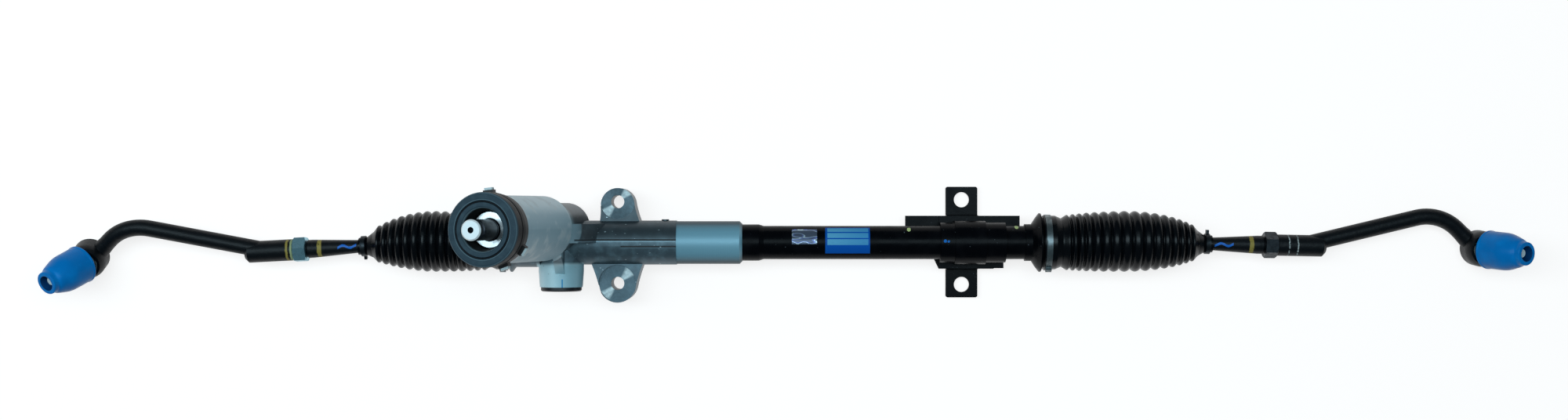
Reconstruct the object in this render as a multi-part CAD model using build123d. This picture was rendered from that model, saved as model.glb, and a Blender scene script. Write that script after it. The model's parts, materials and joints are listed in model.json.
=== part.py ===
from build123d import *
import os
from math import acos, asin, atan2, cos, degrees, hypot, pi, radians, sin, sqrt, tan

# Manual rack-and-pinion steering gear, in millimetres.
# The rack slides along X.  The origin is on the rack axis, midway between the two
# lug holes of the gear housing.  +Z points up from the plane the gear stands on,
# and the steering column's shaft comes in from above, leaning towards -X.

# ---------------------------------------------------------------- standing plane
STAND_HEIGHT = 30.0          # rack axis above the mounting faces of lugs and bracket

# ---------------------------------------------------------------- small clearances
FIT = 0.05                   # radial running clearance of shafts, balls and slides
SEAT = 0.02                  # gap between pieces that are pressed or clamped together
SOFT = 0.3                   # gap between a soft piece and a neighbour that moves

# ---------------------------------------------------------------- rack and gear
TUBE_R = 15.25
TUBE_WALL = 2.0
BUSH_WALL = 1.75             # guide bush between the tube and the rack
RACK_R = TUBE_R - TUBE_WALL - BUSH_WALL
RACK_TRAVEL = 68.0           # each way from the middle
MODULE = 1.75                # normal module of the teeth
PINION_TEETH = 8
PRESSURE = radians(20.0)     # normal pressure angle
PINION_LEAN = radians(15.6)  # pinion axis, from +Z towards -X
TOOTH_SLANT = radians(10.0)  # rack tooth line, from +Z towards +X
PROFILE_SHIFT = 0.5          # pinion profile shift, in modules
TIP_TRIM = 0.19              # pinion tips are turned down by this
FLANK_GAP = 0.05             # each flank of the pinion is this much thin
ROOT_GAP = 0.25              # clearance under the tooth tips, in modules
RACK_GROOVES = 28
TOOTH_FLAT_DROP = 5.19       # tooth tips below the rack's round
PINION_FACE = 28.0
PINION_X = -51.5

HELIX = PINION_LEAN + TOOTH_SLANT
PITCH_R = PINION_TEETH * MODULE / (2 * cos(HELIX))
RACK_TOP_Y = RACK_R - TOOTH_FLAT_DROP
RACK_LINE_Y = RACK_TOP_Y - MODULE
RACK_ROOT_Y = RACK_LINE_Y - (1 + ROOT_GAP) * MODULE
PINION_Y = RACK_LINE_Y + PITCH_R + PROFILE_SHIFT * MODULE
PINION_TIP_R = PITCH_R + (1 + PROFILE_SHIFT) * MODULE - TIP_TRIM
PINION_ROOT_R = PITCH_R - (1 + ROOT_GAP - PROFILE_SHIFT) * MODULE
TOOTH_PITCH = pi * MODULE / cos(TOOTH_SLANT)

# ---------------------------------------------------------------- inner ball joints
BALL_LEFT_X = -169.0
BALL_RIGHT_X = 475.0
INNER_BALL_R = 13.0
SEAT_WALL = 1.5
INNER_SOCKET_R = 17.0
INNER_SOCKET_BACK = 25.0     # ball centre to the socket's inboard face
INNER_SOCKET_LIP = 9.0       # ball centre to the socket's rim
WASHER_T = 1.5
SOCKET_STUD_R = 5.4
SOCKET_STUD_LENGTH = 12.0
RACK_END = INNER_SOCKET_BACK + WASHER_T

# ---------------------------------------------------------------- boots and cups
CUP_FLOOR = RACK_END + RACK_TRAVEL + 0.6   # ball centre inboard to the stop face
CUP_BORE_R = 20.0
CUP_DEPTH = 17.0
CUP_REACH = {"left": 18.0, "right": 0.0}   # cup mouth further outboard by this
BEAD_R = 26.8
BEAD_DROP = 4.5              # the cup's shoulder rises by this to its bead
BEAD_START = 4.0
BEAD_END = 5.2
CUP_GROOVE_START = 6.8
CUP_GROOVE_R = 22.6
LEFT_NECK_R = 22.4
BOOT_WALL = 1.5
COLLAR_START = 7.6
COLLAR_END = 18.5
COLLAR_T = 2.0
RIB_COUNT = {"left": 14, "right": 16}
RIB_FIRST = 66.0             # ball centre inboard to the first crest, right side
RIB_LAST = 49.4              # ball centre outboard to the last crest
RIB_DEPTH = 2.9
CREST_BIG_R = 25.3
CREST_BULGE = 1.5
CREST_SMALL_R = 16.9
FUNNEL_LENGTH = 4.2          # steep shoulder after the last crest
FUNNEL_R = 12.0
BOOT_NECK_START = 60.5
BOOT_NECK_END = 67.5
BAND_START = 8.8
BAND_WIDTH = 5.4
BAND_T = 0.9
EAR_ANGLE = {"left": 205.0, "right": 155.0}
CLIP_T = 1.3
CLIP_WIDTH = 4.0

# ---------------------------------------------------------------- tie rods
ROD_LENGTH = 319.0           # inner ball centre to outer ball centre
ROD_NECK_R = 6.0
ROD_SHANK_R = 8.3
ROD_TAPER_START = 70.0
NUT_START = 115.5
NUT_LENGTH = 11.5
NUT_FLATS = 21.0
THREAD_R = 7.0
THREAD_END = 166.0
SLEEVE_R = 9.8
SLEEVE_END = 172.0
ARM_R = 7.5
ARM_START = 150.0
ARM_CORNER_BACK = 39.5       # outer ball inboard to the arm's corner
ARM_CORNER_V = 33.0
ARM_BEND_R = 42.5
ARM_FLARE = 1.0              # the arm thickens by this where it meets the pot
ARM_DROP = 6.4               # arm axis below the outer ball's centre
HEADING_LEFT = 183.0         # plan direction of each rod, degrees from +X
HEADING_RIGHT = -1.1
ROLL_LEFT = -24.0            # roll of each rod about its own axis, degrees
ROLL_RIGHT = 4.0

# ---------------------------------------------------------------- outer ball joints
OUTER_BALL_R = 12.5
OUTER_SOCKET_R = 16.5
OUTER_SOCKET_TOP = 9.2
OUTER_MOUTH_R = 11.2
OUTER_SOCKET_BASE = 14.5
BASE_CHAMFER = 2.5
BASE_PLATE_R = 12.0
BASE_PLATE_T = 1.5
STUD_NECK_R = 5.5
STUD_TAPER_R = 7.0
STUD_THREAD_R = 5.9
STUD_TIP_R = 3.7
STUD_LENGTH = 46.0
STUD_LEAN = 27.0             # outward lean of each stud in its socket, degrees
SKIRT_T = 1.1
SKIRT_EDGE = 9.6             # the skirt's edge above the outer ball's centre
SKIRT_COLLAR_R = 9.6
SKIRT_COLLAR_START = 14.0
SKIRT_COLLAR_END = 24.0
SKIRT_R = OUTER_SOCKET_R + SOFT + SKIRT_T
CAP_WALL = 1.5
CAP_GAP = 0.69               # cap to the widest edge of the skirt
CAP_R = sqrt(SKIRT_R**2 - SKIRT_EDGE**2) + CAP_GAP + CAP_WALL
CAP_BASE = 8.0
CAP_SHOULDER = 34.0
CAP_NOZZLE_START = 42.5
CAP_END = 51.0
NOZZLE_R = 10.6
NOZZLE_HOLE_R = 6.75

# ---------------------------------------------------------------- gear housing
BODY_R = 20.15
SLEEVE_TURNED_R = 19.5
SLEEVE_STEP_X = 53.9
SLEEVE_TIP_X = 113.7
SLEEVE_TIP = 2.5             # bevel on the sleeve's end
BORE_GAP = 0.8               # rack to the housing's bore
HOUSING_BORE_R = RACK_R + BORE_GAP
LUG_SPACING = 74.5
LUG_HOLE_R = 6.0
LUG_TOP_Z = 2.0
LUG_UPPER_R = 15.4
LUG_UPPER_Y = 34.4           # centre of the eye's round, a little inside its hole
LUG_UPPER_LEFT = -16.4       # ends of the flanks on the body, from the lug hole
LUG_UPPER_RIGHT = 21.0
LUG_LOWER_R = 16.8
LUG_LOWER_Y = 37.9
LUG_LOWER_LEFT = -24.6
LUG_LOWER_RIGHT = 23.9
LUG_HOLLOW = 0.7             # flanks bow inward by this
LUG_RIM = 3.0                # cast top of a lug above its spot face
SPOT_FACE_GAP = 0.3          # the spot face is this much wider than the eye
NUB_X = 43.4
NUB_R = 3.4
NUB_Y = 21.2
POT_R = 23.0
POT_BASE_R = 16.0
POT_BASE_S = -25.6
POT_TURN_S = -13.0
TOWER_R = 29.0
TOWER_START_S = 47.0
TOWER_END_S = 150.0
TOWER_FLARE = 13.0           # length of the cone from the pot to the tower
WEB_T = 8.0
WEB_SIDE_REACH = 50.0        # webs: how far they run from the pinion, how high
WEB_SIDE_TOP = 48.0
WEB_SIDE_MIDDLE = 34.0
WEB_FRONT_REACH = 32.0
WEB_FRONT_TOP = 52.0
WEB_FRONT_MIDDLE = 14.0
PINION_CAVITY_R = 10.9
NEEDLE_BUSH_R = 9.0
NEEDLE_BUSH_START_S = -23.8
NEEDLE_BUSH_END_S = -16.4
BEARING_R = 16.0
BEARING_START_S = 20.0
BEARING_WIDTH = 10.0
BEARING_BALL_R = 2.25
BEARING_BALLS = 7
BEARING_RING_T = 2.5
CAGE_T = 1.4
TOWER_RELIEF_R = 20.0
TOP_BUSH_LENGTH = 12.0
SEAL_LENGTH = 7.0
YOKE_BOSS_R = 20.5
YOKE_BOSS_TIP_R = 19.5
YOKE_BOSS_Y = -40.5
YOKE_R = 15.0
YOKE_FRONT_Y = -6.0
YOKE_BACK_Y = -25.0
YOKE_PLUG_R = 18.6
YOKE_PLUG_FLANGE = 3.8
YOKE_PLUG_HEX = 8.0          # corner radius of the hexagon socket
YOKE_PLUG_GROOVE = 1.6
YOKE_POCKET_R = 6.5
YOKE_POCKET = 7.0
SPRING_R = 5.0
SPRING_WIRE = 1.0
SPRING_LENGTH = 10.0
SPRING_TURNS = 4

# ---------------------------------------------------------------- pinion shaft top
SHAFT_R = 8.9
SHAFT_STEP = 0.3             # the shaft is this much thicker inside the tower
BEARING_SHAFT_R = SHAFT_R + SHAFT_STEP
SHAFT_END_S = 199.0
FREE_START_S = 164.0
TIP_GROOVE = 9.0             # coupling groove below the shaft's end
TIP_GROOVE_DEPTH = 1.3
TIP_GROOVE_WIDTH = 1.6
TIP_CHAMFER = 1.2
CENTRE_HOLE_R = 2.5
CENTRE_HOLE_DEPTH = 4.0
JOURNAL_R = 6.0
COVER_R = 31.5
COVER_START_S = 157.0
COVER_END_S = 176.5
COVER_MOUTH_R = 18.5
COVER_THROAT_R = 16.3
COVER_RING_R = 23.0
PLUG_DISC_R = 15.75
RETAINER_R = 30.6
CLIP_ANGLES = (96.0, -33.0, -71.0)
CLIP_REACH = 35.5

# ---------------------------------------------------------------- tube and bracket
TUBE_INSERT_X = 66.0
COLLAR_BAND_R = 16.6         # swaged band of the tube beside the housing sleeve
COLLAR_BAND_END_X = 128.7
COLLAR_BAND_TAPER = 4.5
BRACKET_PLATE_T = 3.0
BRACKET_TAB_T = 4.5
WING_LEFT_X = 263.1
WING_RIGHT_X = 368.4
WING_Y = 24.4
SADDLE_LEFT_X = 293.9
SADDLE_RIGHT_X = 353.2
BAND_LEFT_X = 307.0
BAND_RIGHT_X = 335.0
TAB_LEFT_X = 301.1
TAB_RIGHT_X = 330.4
TAB_REACH = 51.2
TAB_HOLE_SPACING = 78.4
TAB_HOLE_R = 7.0
SADDLE_T = 3.0
SADDLE_BAND = 1.5


def turned(points):
    """Solid of revolution about Z from (radius, height) corners."""
    profile = make_face(Plane.XZ * Polyline(*points, close=True))
    return revolve(profile, Axis.Z)


def ring(outer_r, inner_r, start, end):
    """Hollow cylinder about Z."""
    corners = [(inner_r, start), (outer_r, start), (outer_r, end), (inner_r, end)]
    return turned(corners)


def rod(radius, start, end):
    """Full cylinder about Z."""
    return turned([(0, start), (radius, start), (radius, end), (0, end)])


# Local frames: along the rack, along the pinion, and outboard from each inner ball.
ALONG_RACK = Plane(origin=(0, 0, 0), x_dir=(0, 1, 0), z_dir=(1, 0, 0))
PINION_AXIS = Vector(-sin(PINION_LEAN), 0, cos(PINION_LEAN))
PINION_FRAME = Plane(
    origin=(PINION_X, PINION_Y, 0),
    x_dir=(cos(PINION_LEAN), 0, sin(PINION_LEAN)),
    z_dir=PINION_AXIS,
)
YOKE_FRAME = Plane(origin=(PINION_X, 0, 0), x_dir=(1, 0, 0), z_dir=(0, -1, 0))
ALONG_ROD = Plane(origin=(0, 0, 0), x_dir=(0, 1, 0), z_dir=(1, 0, 0))
SIDES = {
    "left": (-1, BALL_LEFT_X, HEADING_LEFT, ROLL_LEFT),
    "right": (1, BALL_RIGHT_X, HEADING_RIGHT, ROLL_RIGHT),
}


def outboard_frame(side):
    """Plane whose z runs outboard along the rack axis from an inner ball."""
    hand, ball_x, heading, roll = SIDES[side]
    return Plane(origin=(ball_x, 0, 0), x_dir=(0, 1, 0), z_dir=(hand, 0, 0))


def rod_droop(roll):
    """Droop of a rod, in degrees, that sets its outer socket on the standing plane."""
    base_r = OUTER_SOCKET_R - BASE_CHAMFER
    droop = 0.0
    for _ in range(6):
        upright = cos(radians(roll)) * cos(droop)
        reach = OUTER_SOCKET_BASE * upright + base_r * sqrt(1 - upright**2)
        droop = asin((STAND_HEIGHT - reach) / ROD_LENGTH)
    return degrees(droop)


def rod_location(side):
    """Frame of a tie rod: x outboard along the rod, z up, origin at the inner ball."""
    hand, ball_x, heading, roll = SIDES[side]
    turn = Rot(0, 0, heading) * Rot(0, rod_droop(roll), 0) * Rot(roll, 0, 0)
    return Pos(ball_x, 0, 0) * turn


def socket_location(side):
    """Frame of an outer socket: z along the socket's axis, origin at the ball."""
    return rod_location(side) * Pos(ROD_LENGTH, 0, 0)


def stud_location(side):
    """Frame of a ball stud as it leans outward in its socket."""
    return socket_location(side) * Rot(0, STUD_LEAN, 0)


# ================================================================= gear housing
def tangent_point(from_x, from_y, eye_y, radius):
    """Point where a line from outside touches the eye's circle, on its own side."""
    away = hypot(from_x, from_y - eye_y)
    bearing = atan2(from_y - eye_y, from_x)
    turn = acos(radius / away)
    turn = -turn if from_x * (from_y - eye_y) > 0 else turn
    angle = bearing + turn
    return radius * cos(angle), eye_y + radius * sin(angle)


def lug(y_sign, radius, eye_y, base_left, base_right):
    """Mounting lug: a round eye whose flanks run out to the housing body, slightly hollow."""
    eye_y = y_sign * eye_y
    root_y = y_sign * (BODY_R - LUG_RIM)
    sides = []
    for base_x, inward in ((base_right, -1), (base_left, 1)):
        touch_x, touch_y = tangent_point(base_x, root_y, eye_y, radius)
        middle = ((base_x + touch_x) / 2 + inward * LUG_HOLLOW, (root_y + touch_y) / 2)
        sides.append(((base_x, root_y), middle, (touch_x, touch_y)))
    right, left = sides
    outline = [
        Line(left[0], right[0]),
        ThreePointArc(*right),
        ThreePointArc(right[2], (0, eye_y + y_sign * radius), left[2]),
        ThreePointArc(*reversed(left)),
    ]
    web = extrude(make_face(outline), LUG_TOP_Z + STAND_HEIGHT + LUG_RIM, dir=(0, 0, 1))
    web = Pos(0, 0, -STAND_HEIGHT) * web
    spot_face = extrude(Circle(radius + SPOT_FACE_GAP), 2 * LUG_RIM)
    return web - Pos(0, y_sign * LUG_SPACING / 2, LUG_TOP_Z) * spot_face


def housing_castings():
    """Outer body of the gear housing before any bore is cut."""
    body = ALONG_RACK * rod(BODY_R, BALL_LEFT_X + CUP_FLOOR - 1, SLEEVE_STEP_X)
    sleeve = ALONG_RACK * turned([
        (0, SLEEVE_STEP_X),
        (SLEEVE_TURNED_R, SLEEVE_STEP_X),
        (SLEEVE_TURNED_R, SLEEVE_TIP_X - SLEEVE_TIP),
        (SLEEVE_TURNED_R - SLEEVE_TIP, SLEEVE_TIP_X),
        (0, SLEEVE_TIP_X),
    ])
    pot = PINION_FRAME * turned([
        (0, POT_BASE_S),
        (POT_BASE_R, POT_BASE_S),
        (POT_R, POT_TURN_S),
        (POT_R, TOWER_START_S - TOWER_FLARE),
        (TOWER_R, TOWER_START_S),
        (TOWER_R, TOWER_END_S),
        (0, TOWER_END_S),
    ])
    boss = YOKE_FRAME * turned([
        (0, 0),
        (YOKE_BOSS_R, 0),
        (YOKE_BOSS_R, -YOKE_BOSS_Y - 14),
        (YOKE_BOSS_TIP_R, -YOKE_BOSS_Y),
        (0, -YOKE_BOSS_Y),
    ])
    nub = Pos(NUB_X, 0, 0) * Rot(-90, 0, 0) * rod(NUB_R, 0, NUB_Y)
    return body + sleeve + pot + boss + nub + left_cup() + tower_webs()


def tower_webs():
    """Cast webs that tie the leaning tower to the body and to the yoke boss."""
    side = make_face(Polyline(
        (PINION_X + WEB_T, 0), (PINION_X + WEB_SIDE_REACH, 0),
        (PINION_X + WEB_SIDE_REACH - 3.5 * WEB_T, WEB_SIDE_MIDDLE),
        (PINION_X - 0.75 * WEB_T, WEB_SIDE_TOP), close=True,
    ))
    body_web = extrude(Plane.XZ * side, PINION_Y + WEB_T / 2, dir=(0, 1, 0))
    front = make_face(Polyline(
        (10 - WEB_FRONT_REACH, 0), (PINION_Y, 0), (PINION_Y, WEB_FRONT_TOP),
        (PINION_Y - 3 * WEB_T, WEB_SIDE_TOP), (-WEB_FRONT_REACH, WEB_FRONT_MIDDLE), close=True,
    ))
    boss_web = extrude(Plane.YZ * front, WEB_T, dir=(1, 0, 0))
    return body_web + Pos(PINION_X - 3, 0, 0) * boss_web


def cup_back(side):
    """Back of a boot cup, as a distance outboard of the inner ball."""
    return -CUP_FLOOR + CUP_REACH[side]


def cup_profile(side, neck_r, neck_length):
    """(radius, distance from the ball) corners of a boot cup and its neck."""
    back = cup_back(side)
    mouth = back + CUP_DEPTH
    return [
        (0, -CUP_FLOOR - neck_length),
        (neck_r, -CUP_FLOOR - neck_length),
        (neck_r, back - 3),
        (BEAD_R - BEAD_DROP, back + 0.5),
        (BEAD_R, back + BEAD_START),
        (BEAD_R, back + BEAD_END),
        (CUP_GROOVE_R, back + CUP_GROOVE_START),
        (CUP_GROOVE_R, mouth),
        (0, mouth),
    ]


def left_cup():
    """Boot cup cast on the pinion end of the housing, on a neck that hides the stop."""
    return outboard_frame("left") * turned(cup_profile("left", LEFT_NECK_R, 4))


def rib_grooves():
    """Shallow grooves that leave a raised rib along the top of the body."""
    grooves = []
    for centre_y, start_x in ((2.6, -36.0), (-3.4, 4.0)):
        length = SLEEVE_STEP_X - 1 - start_x
        groove = Box(length, 1.6, 3.0, align=(Align.MIN, Align.CENTER, Align.MIN))
        grooves.append(Pos(start_x, centre_y, BODY_R - 1.4) * groove)
    return grooves


def gear_housing():
    """Cast housing with rack bore, pinion tower, yoke boss, lugs and boot cup."""
    cast = housing_castings()
    cast += lug(1, LUG_UPPER_R, LUG_UPPER_Y, LUG_UPPER_LEFT, LUG_UPPER_RIGHT)
    cast += lug(-1, LUG_LOWER_R, LUG_LOWER_Y, LUG_LOWER_LEFT, LUG_LOWER_RIGHT)
    floor_x = BALL_LEFT_X + CUP_FLOOR
    cuts = [ALONG_RACK * rod(HOUSING_BORE_R, BALL_LEFT_X, SLEEVE_TIP_X)]
    mouth_x = floor_x - CUP_REACH["left"] - CUP_DEPTH
    cuts.append(ALONG_RACK * rod(CUP_BORE_R, mouth_x - 1, floor_x))
    cuts.append(ALONG_RACK * rod(TUBE_R + SEAT, TUBE_INSERT_X, SLEEVE_TIP_X + 1))
    cuts.append(PINION_FRAME * turned([
        (0, NEEDLE_BUSH_START_S),
        (NEEDLE_BUSH_R + SEAT, NEEDLE_BUSH_START_S),
        (NEEDLE_BUSH_R + SEAT, NEEDLE_BUSH_END_S),
        (PINION_CAVITY_R, NEEDLE_BUSH_END_S),
        (PINION_CAVITY_R, BEARING_START_S),
        (BEARING_R + SEAT, BEARING_START_S),
        (BEARING_R + SEAT, BEARING_START_S + BEARING_WIDTH + 6),
        (TOWER_RELIEF_R, BEARING_START_S + BEARING_WIDTH + 18),
        (TOWER_RELIEF_R, TOWER_END_S - 30),
        (BEARING_R + SEAT, TOWER_END_S - 22),
        (BEARING_R + SEAT, TOWER_END_S + 1),
        (0, TOWER_END_S + 1),
    ]))
    cuts.append(YOKE_FRAME * rod(YOKE_R + FIT, -YOKE_FRONT_Y - 2, -YOKE_BOSS_Y + 1))
    for y_sign in (1, -1):
        hole = Cylinder(LUG_HOLE_R, 3 * STAND_HEIGHT)
        cuts.append(Pos(0, y_sign * LUG_SPACING / 2, 0) * hole)
    return cast - (cuts + rib_grooves())


# ================================================================= tube and bracket
def rack_tube():
    """Long steel tube pressed into the housing sleeve, swaged out beside it."""
    end_x = BALL_RIGHT_X - CUP_FLOOR - 1
    tube = ring(TUBE_R, TUBE_R - TUBE_WALL, TUBE_INSERT_X, end_x)
    band = turned([
        (TUBE_R - 1, SLEEVE_TIP_X + SEAT), (COLLAR_BAND_R, SLEEVE_TIP_X + SEAT),
        (COLLAR_BAND_R, COLLAR_BAND_END_X), (TUBE_R, COLLAR_BAND_END_X + COLLAR_BAND_TAPER),
        (TUBE_R - 1, COLLAR_BAND_END_X + COLLAR_BAND_TAPER),
    ])
    return ALONG_RACK * (tube + band)


def tube_end_cup():
    """Flared steel cup on the tube's end that carries the right boot."""
    solid = turned(cup_profile("right", TUBE_R + 1.6, 9))
    solid -= rod(TUBE_R + SEAT, -CUP_FLOOR - 10, -CUP_FLOOR - 1)
    solid -= rod(TUBE_R - TUBE_WALL, -CUP_FLOOR - 2, -CUP_FLOOR)
    solid -= rod(CUP_BORE_R, -CUP_FLOOR, -CUP_FLOOR + CUP_DEPTH + 1)
    return outboard_frame("right") * solid


def rack_bush():
    """Plastic bush in the tube's end that guides the plain end of the rack."""
    end_x = BALL_RIGHT_X - CUP_FLOOR - 3
    return ALONG_RACK * ring(TUBE_R - TUBE_WALL - SEAT, RACK_R + FIT, end_x - 22, end_x)


def bracket_base():
    """Stamped base plate under the tube with two joggled bolt tabs."""
    plate_top = -TUBE_R - SEAT
    plate_bottom = plate_top - BRACKET_PLATE_T
    corner = 9.0
    outline = make_face(Polyline(
        (WING_LEFT_X, WING_Y), (WING_LEFT_X, 8), (SADDLE_LEFT_X - 6, 4),
        (SADDLE_LEFT_X - 6, -12), (SADDLE_LEFT_X, -WING_Y), (SADDLE_RIGHT_X - corner, -WING_Y),
        (SADDLE_RIGHT_X, -WING_Y + corner), (WING_RIGHT_X, 6), (WING_RIGHT_X, WING_Y),
        close=True,
    ))
    base = Pos(0, 0, plate_bottom) * extrude(outline, BRACKET_PLATE_T)
    tab_width = TAB_RIGHT_X - TAB_LEFT_X
    tab_x = (TAB_LEFT_X + TAB_RIGHT_X) / 2
    foot_y = WING_Y - BRACKET_TAB_T
    for y_sign in (1, -1):
        section = make_face(Polyline(
            (y_sign * foot_y, plate_top), (y_sign * (foot_y - 3), plate_bottom),
            (y_sign * foot_y, plate_bottom), (y_sign * foot_y, -STAND_HEIGHT),
            (y_sign * TAB_REACH, -STAND_HEIGHT),
            (y_sign * TAB_REACH, -STAND_HEIGHT + BRACKET_TAB_T),
            (y_sign * (WING_Y + 1), -STAND_HEIGHT + BRACKET_TAB_T),
            (y_sign * WING_Y, plate_top), close=True,
        ))
        tab = extrude(Plane.YZ * section, tab_width, dir=(1, 0, 0))
        tab = Pos(TAB_LEFT_X, 0, 0) * tab
        tip_edges = tab.edges().filter_by(Axis.Z).sort_by(Axis.Y)
        tips = tip_edges[-2:] if y_sign > 0 else tip_edges[:2]
        base += fillet(tips, 2.0)
    for y_sign in (1, -1):
        hole = Cylinder(TAB_HOLE_R, 3 * STAND_HEIGHT)
        base -= Pos(tab_x, y_sign * TAB_HOLE_SPACING / 2, 0) * hole
    return base


def saddle_section(thickness):
    """Cross-section of the strap that arches over the tube and ends in flat feet."""
    outer_r = TUBE_R + SEAT + thickness
    foot_z = -TUBE_R
    foot_top = foot_z + BRACKET_PLATE_T
    solid_arch = Circle(outer_r) + Pos(0, foot_z / 2) * Rectangle(2 * outer_r, -foot_z)
    feet = Pos(0, (foot_z + foot_top) / 2) * Rectangle(2 * (WING_Y - 0.6), foot_top - foot_z)
    blank = solid_arch + feet
    below = Pos(0, foot_z - outer_r) * Rectangle(4 * WING_Y, 2 * outer_r)
    core = Circle(TUBE_R + SEAT)
    slot = Pos(0, foot_z / 2) * Rectangle(2 * (TUBE_R + SEAT), -foot_z)
    return blank - below - core - slot


def bracket_saddle():
    """Stamped strap over the tube, with a raised band round its middle."""
    length = SADDLE_RIGHT_X - SADDLE_LEFT_X
    strap = extrude(Plane.YZ * saddle_section(SADDLE_T), length, dir=(1, 0, 0))
    strap = Pos(SADDLE_LEFT_X, 0, 0) * strap
    band = extrude(
        Plane.YZ * saddle_section(SADDLE_T + SADDLE_BAND), BAND_RIGHT_X - BAND_LEFT_X,
        dir=(1, 0, 0),
    )
    return strap + Pos(BAND_LEFT_X, 0, 0) * band


# ================================================================= rack and pinion
def involute_point(base_r, radius, start_angle, side):
    """Point of a tooth flank at a radius, on the given side of the tooth's middle."""
    roll = sqrt(max((radius / base_r) ** 2 - 1, 0))
    angle = start_angle - (roll - atan2(roll, 1))
    return (radius * cos(side * angle), radius * sin(side * angle))


def pinion_tooth():
    """Transverse section of one pinion tooth, pointing along +X."""
    transverse = atan2(tan(PRESSURE), cos(HELIX))
    base_r = PITCH_R * cos(transverse)
    width = MODULE * pi / 2 / cos(HELIX) + 2 * PROFILE_SHIFT * MODULE * tan(transverse)
    width -= 2 * FLANK_GAP / cos(transverse)
    base_angle = width / (2 * PITCH_R) + tan(transverse) - transverse
    steps = 5
    radii = [base_r + (PINION_TIP_R - base_r) * i / steps for i in range(steps + 1)]
    upper = [involute_point(base_r, r, base_angle, 1) for r in radii]
    lower = [involute_point(base_r, r, base_angle, -1) for r in radii]
    inner_r = PINION_ROOT_R - 1.5
    root_up = (inner_r * cos(base_angle), inner_r * sin(base_angle))
    root_down = (root_up[0], -root_up[1])
    tip = ThreePointArc(upper[-1], (PINION_TIP_R, 0), lower[-1])
    edges = [Line(root_down, root_up), Line(root_up, upper[0]), Spline(*upper), tip]
    edges += [Spline(*reversed(lower)), Line(lower[0], root_down)]
    return make_face(edges)


def pinion_teeth():
    """Helical teeth, with a tooth gap facing the rack at mid face."""
    twist = degrees(PINION_FACE * tan(HELIX) / PITCH_R)
    step = 360 / PINION_TEETH
    section = Circle(PINION_ROOT_R)
    for i in range(PINION_TEETH):
        section += Rot(0, 0, (i + 0.5) * step - 90 - twist / 2) * pinion_tooth()
    face = section.faces()[0]
    teeth = Solid.extrude_linear_with_rotation(face, (0, 0, 0), (0, 0, PINION_FACE), twist)
    return Pos(0, 0, -PINION_FACE / 2) * teeth


def pinion_shaft():
    """Pinion cut on the end of its shaft, with a grooved upper end for a coupling."""
    half = PINION_FACE / 2
    neck_r = PINION_ROOT_R - 0.4
    groove_s = SHAFT_END_S - TIP_GROOVE
    groove_end_s = groove_s + TIP_GROOVE_WIDTH
    groove_r = SHAFT_R - TIP_GROOVE_DEPTH
    slope = TIP_GROOVE_DEPTH / 2
    shaft = turned([
        (0, NEEDLE_BUSH_START_S + SOFT),
        (JOURNAL_R, NEEDLE_BUSH_START_S + SOFT),
        (JOURNAL_R, -half),
        (neck_r, -half),
        (neck_r, half),
        (BEARING_SHAFT_R, half + 3),
        (BEARING_SHAFT_R, FREE_START_S),
        (SHAFT_R, FREE_START_S),
        (SHAFT_R, groove_s),
        (groove_r, groove_s + slope),
        (groove_r, groove_end_s + slope),
        (SHAFT_R, groove_end_s + 2 * slope),
        (SHAFT_R, SHAFT_END_S - TIP_CHAMFER),
        (SHAFT_R - TIP_CHAMFER, SHAFT_END_S),
        (CENTRE_HOLE_R, SHAFT_END_S),
        (CENTRE_HOLE_R / 2, SHAFT_END_S - CENTRE_HOLE_DEPTH),
        (0, SHAFT_END_S - CENTRE_HOLE_DEPTH - 1),
    ])
    return PINION_FRAME * (shaft + pinion_teeth())


def rack_bar():
    """Round rack with slanted teeth along its front and a threaded hole in each end."""
    left_end = BALL_LEFT_X + RACK_END
    right_end = BALL_RIGHT_X - RACK_END
    bar = ALONG_RACK * rod(RACK_R, left_end, right_end)
    flat_reach = RACK_TRAVEL + PINION_TIP_R / cos(PINION_LEAN) + 4.0
    flat = Box(2 * flat_reach, 20, 3 * RACK_R, align=(Align.CENTER, Align.MIN, Align.CENTER))
    cuts = [Pos(PINION_X, RACK_TOP_Y, 0) * flat]
    tooth_line = Vector(sin(TOOTH_SLANT), 0, cos(TOOTH_SLANT))
    across = Vector(cos(TOOTH_SLANT), 0, -sin(TOOTH_SLANT))
    above = RACK_TOP_Y + 1
    root_half = pi * MODULE / 4 + (RACK_ROOT_Y - RACK_LINE_Y) * tan(PRESSURE)
    above_half = pi * MODULE / 4 + (above - RACK_LINE_Y) * tan(PRESSURE)
    for i in range(RACK_GROOVES):
        groove_x = PINION_X + (i + 0.5 - RACK_GROOVES // 2) * TOOTH_PITCH
        frame = Plane(origin=(groove_x, 0, 0), x_dir=across, z_dir=tooth_line)
        section = make_face(Polyline(
            (-root_half, RACK_ROOT_Y), (root_half, RACK_ROOT_Y),
            (above_half, above), (-above_half, above), close=True,
        ))
        cuts.append(extrude(frame * section, 2 * RACK_R, both=True))
    for end, inward in ((left_end, 1), (right_end, -1)):
        hole = rod(SOCKET_STUD_R + SEAT, -1, SOCKET_STUD_LENGTH + 0.8)
        cuts.append(Plane(origin=(end, 0, 0), x_dir=(0, 1, 0), z_dir=(inward, 0, 0)) * hole)
    return bar - cuts


def pinion_needle_bush():
    """Needle bush that holds the pinion's lower journal."""
    return PINION_FRAME * ring(
        NEEDLE_BUSH_R, JOURNAL_R + FIT, NEEDLE_BUSH_START_S, NEEDLE_BUSH_END_S)


def pinion_bearing_outer():
    """Outer ring of the ball bearing above the pinion, with its raceway."""
    end = BEARING_START_S + BEARING_WIDTH
    body = ring(BEARING_R, BEARING_R - BEARING_RING_T, BEARING_START_S, end)
    return PINION_FRAME * (body - bearing_race())


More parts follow.
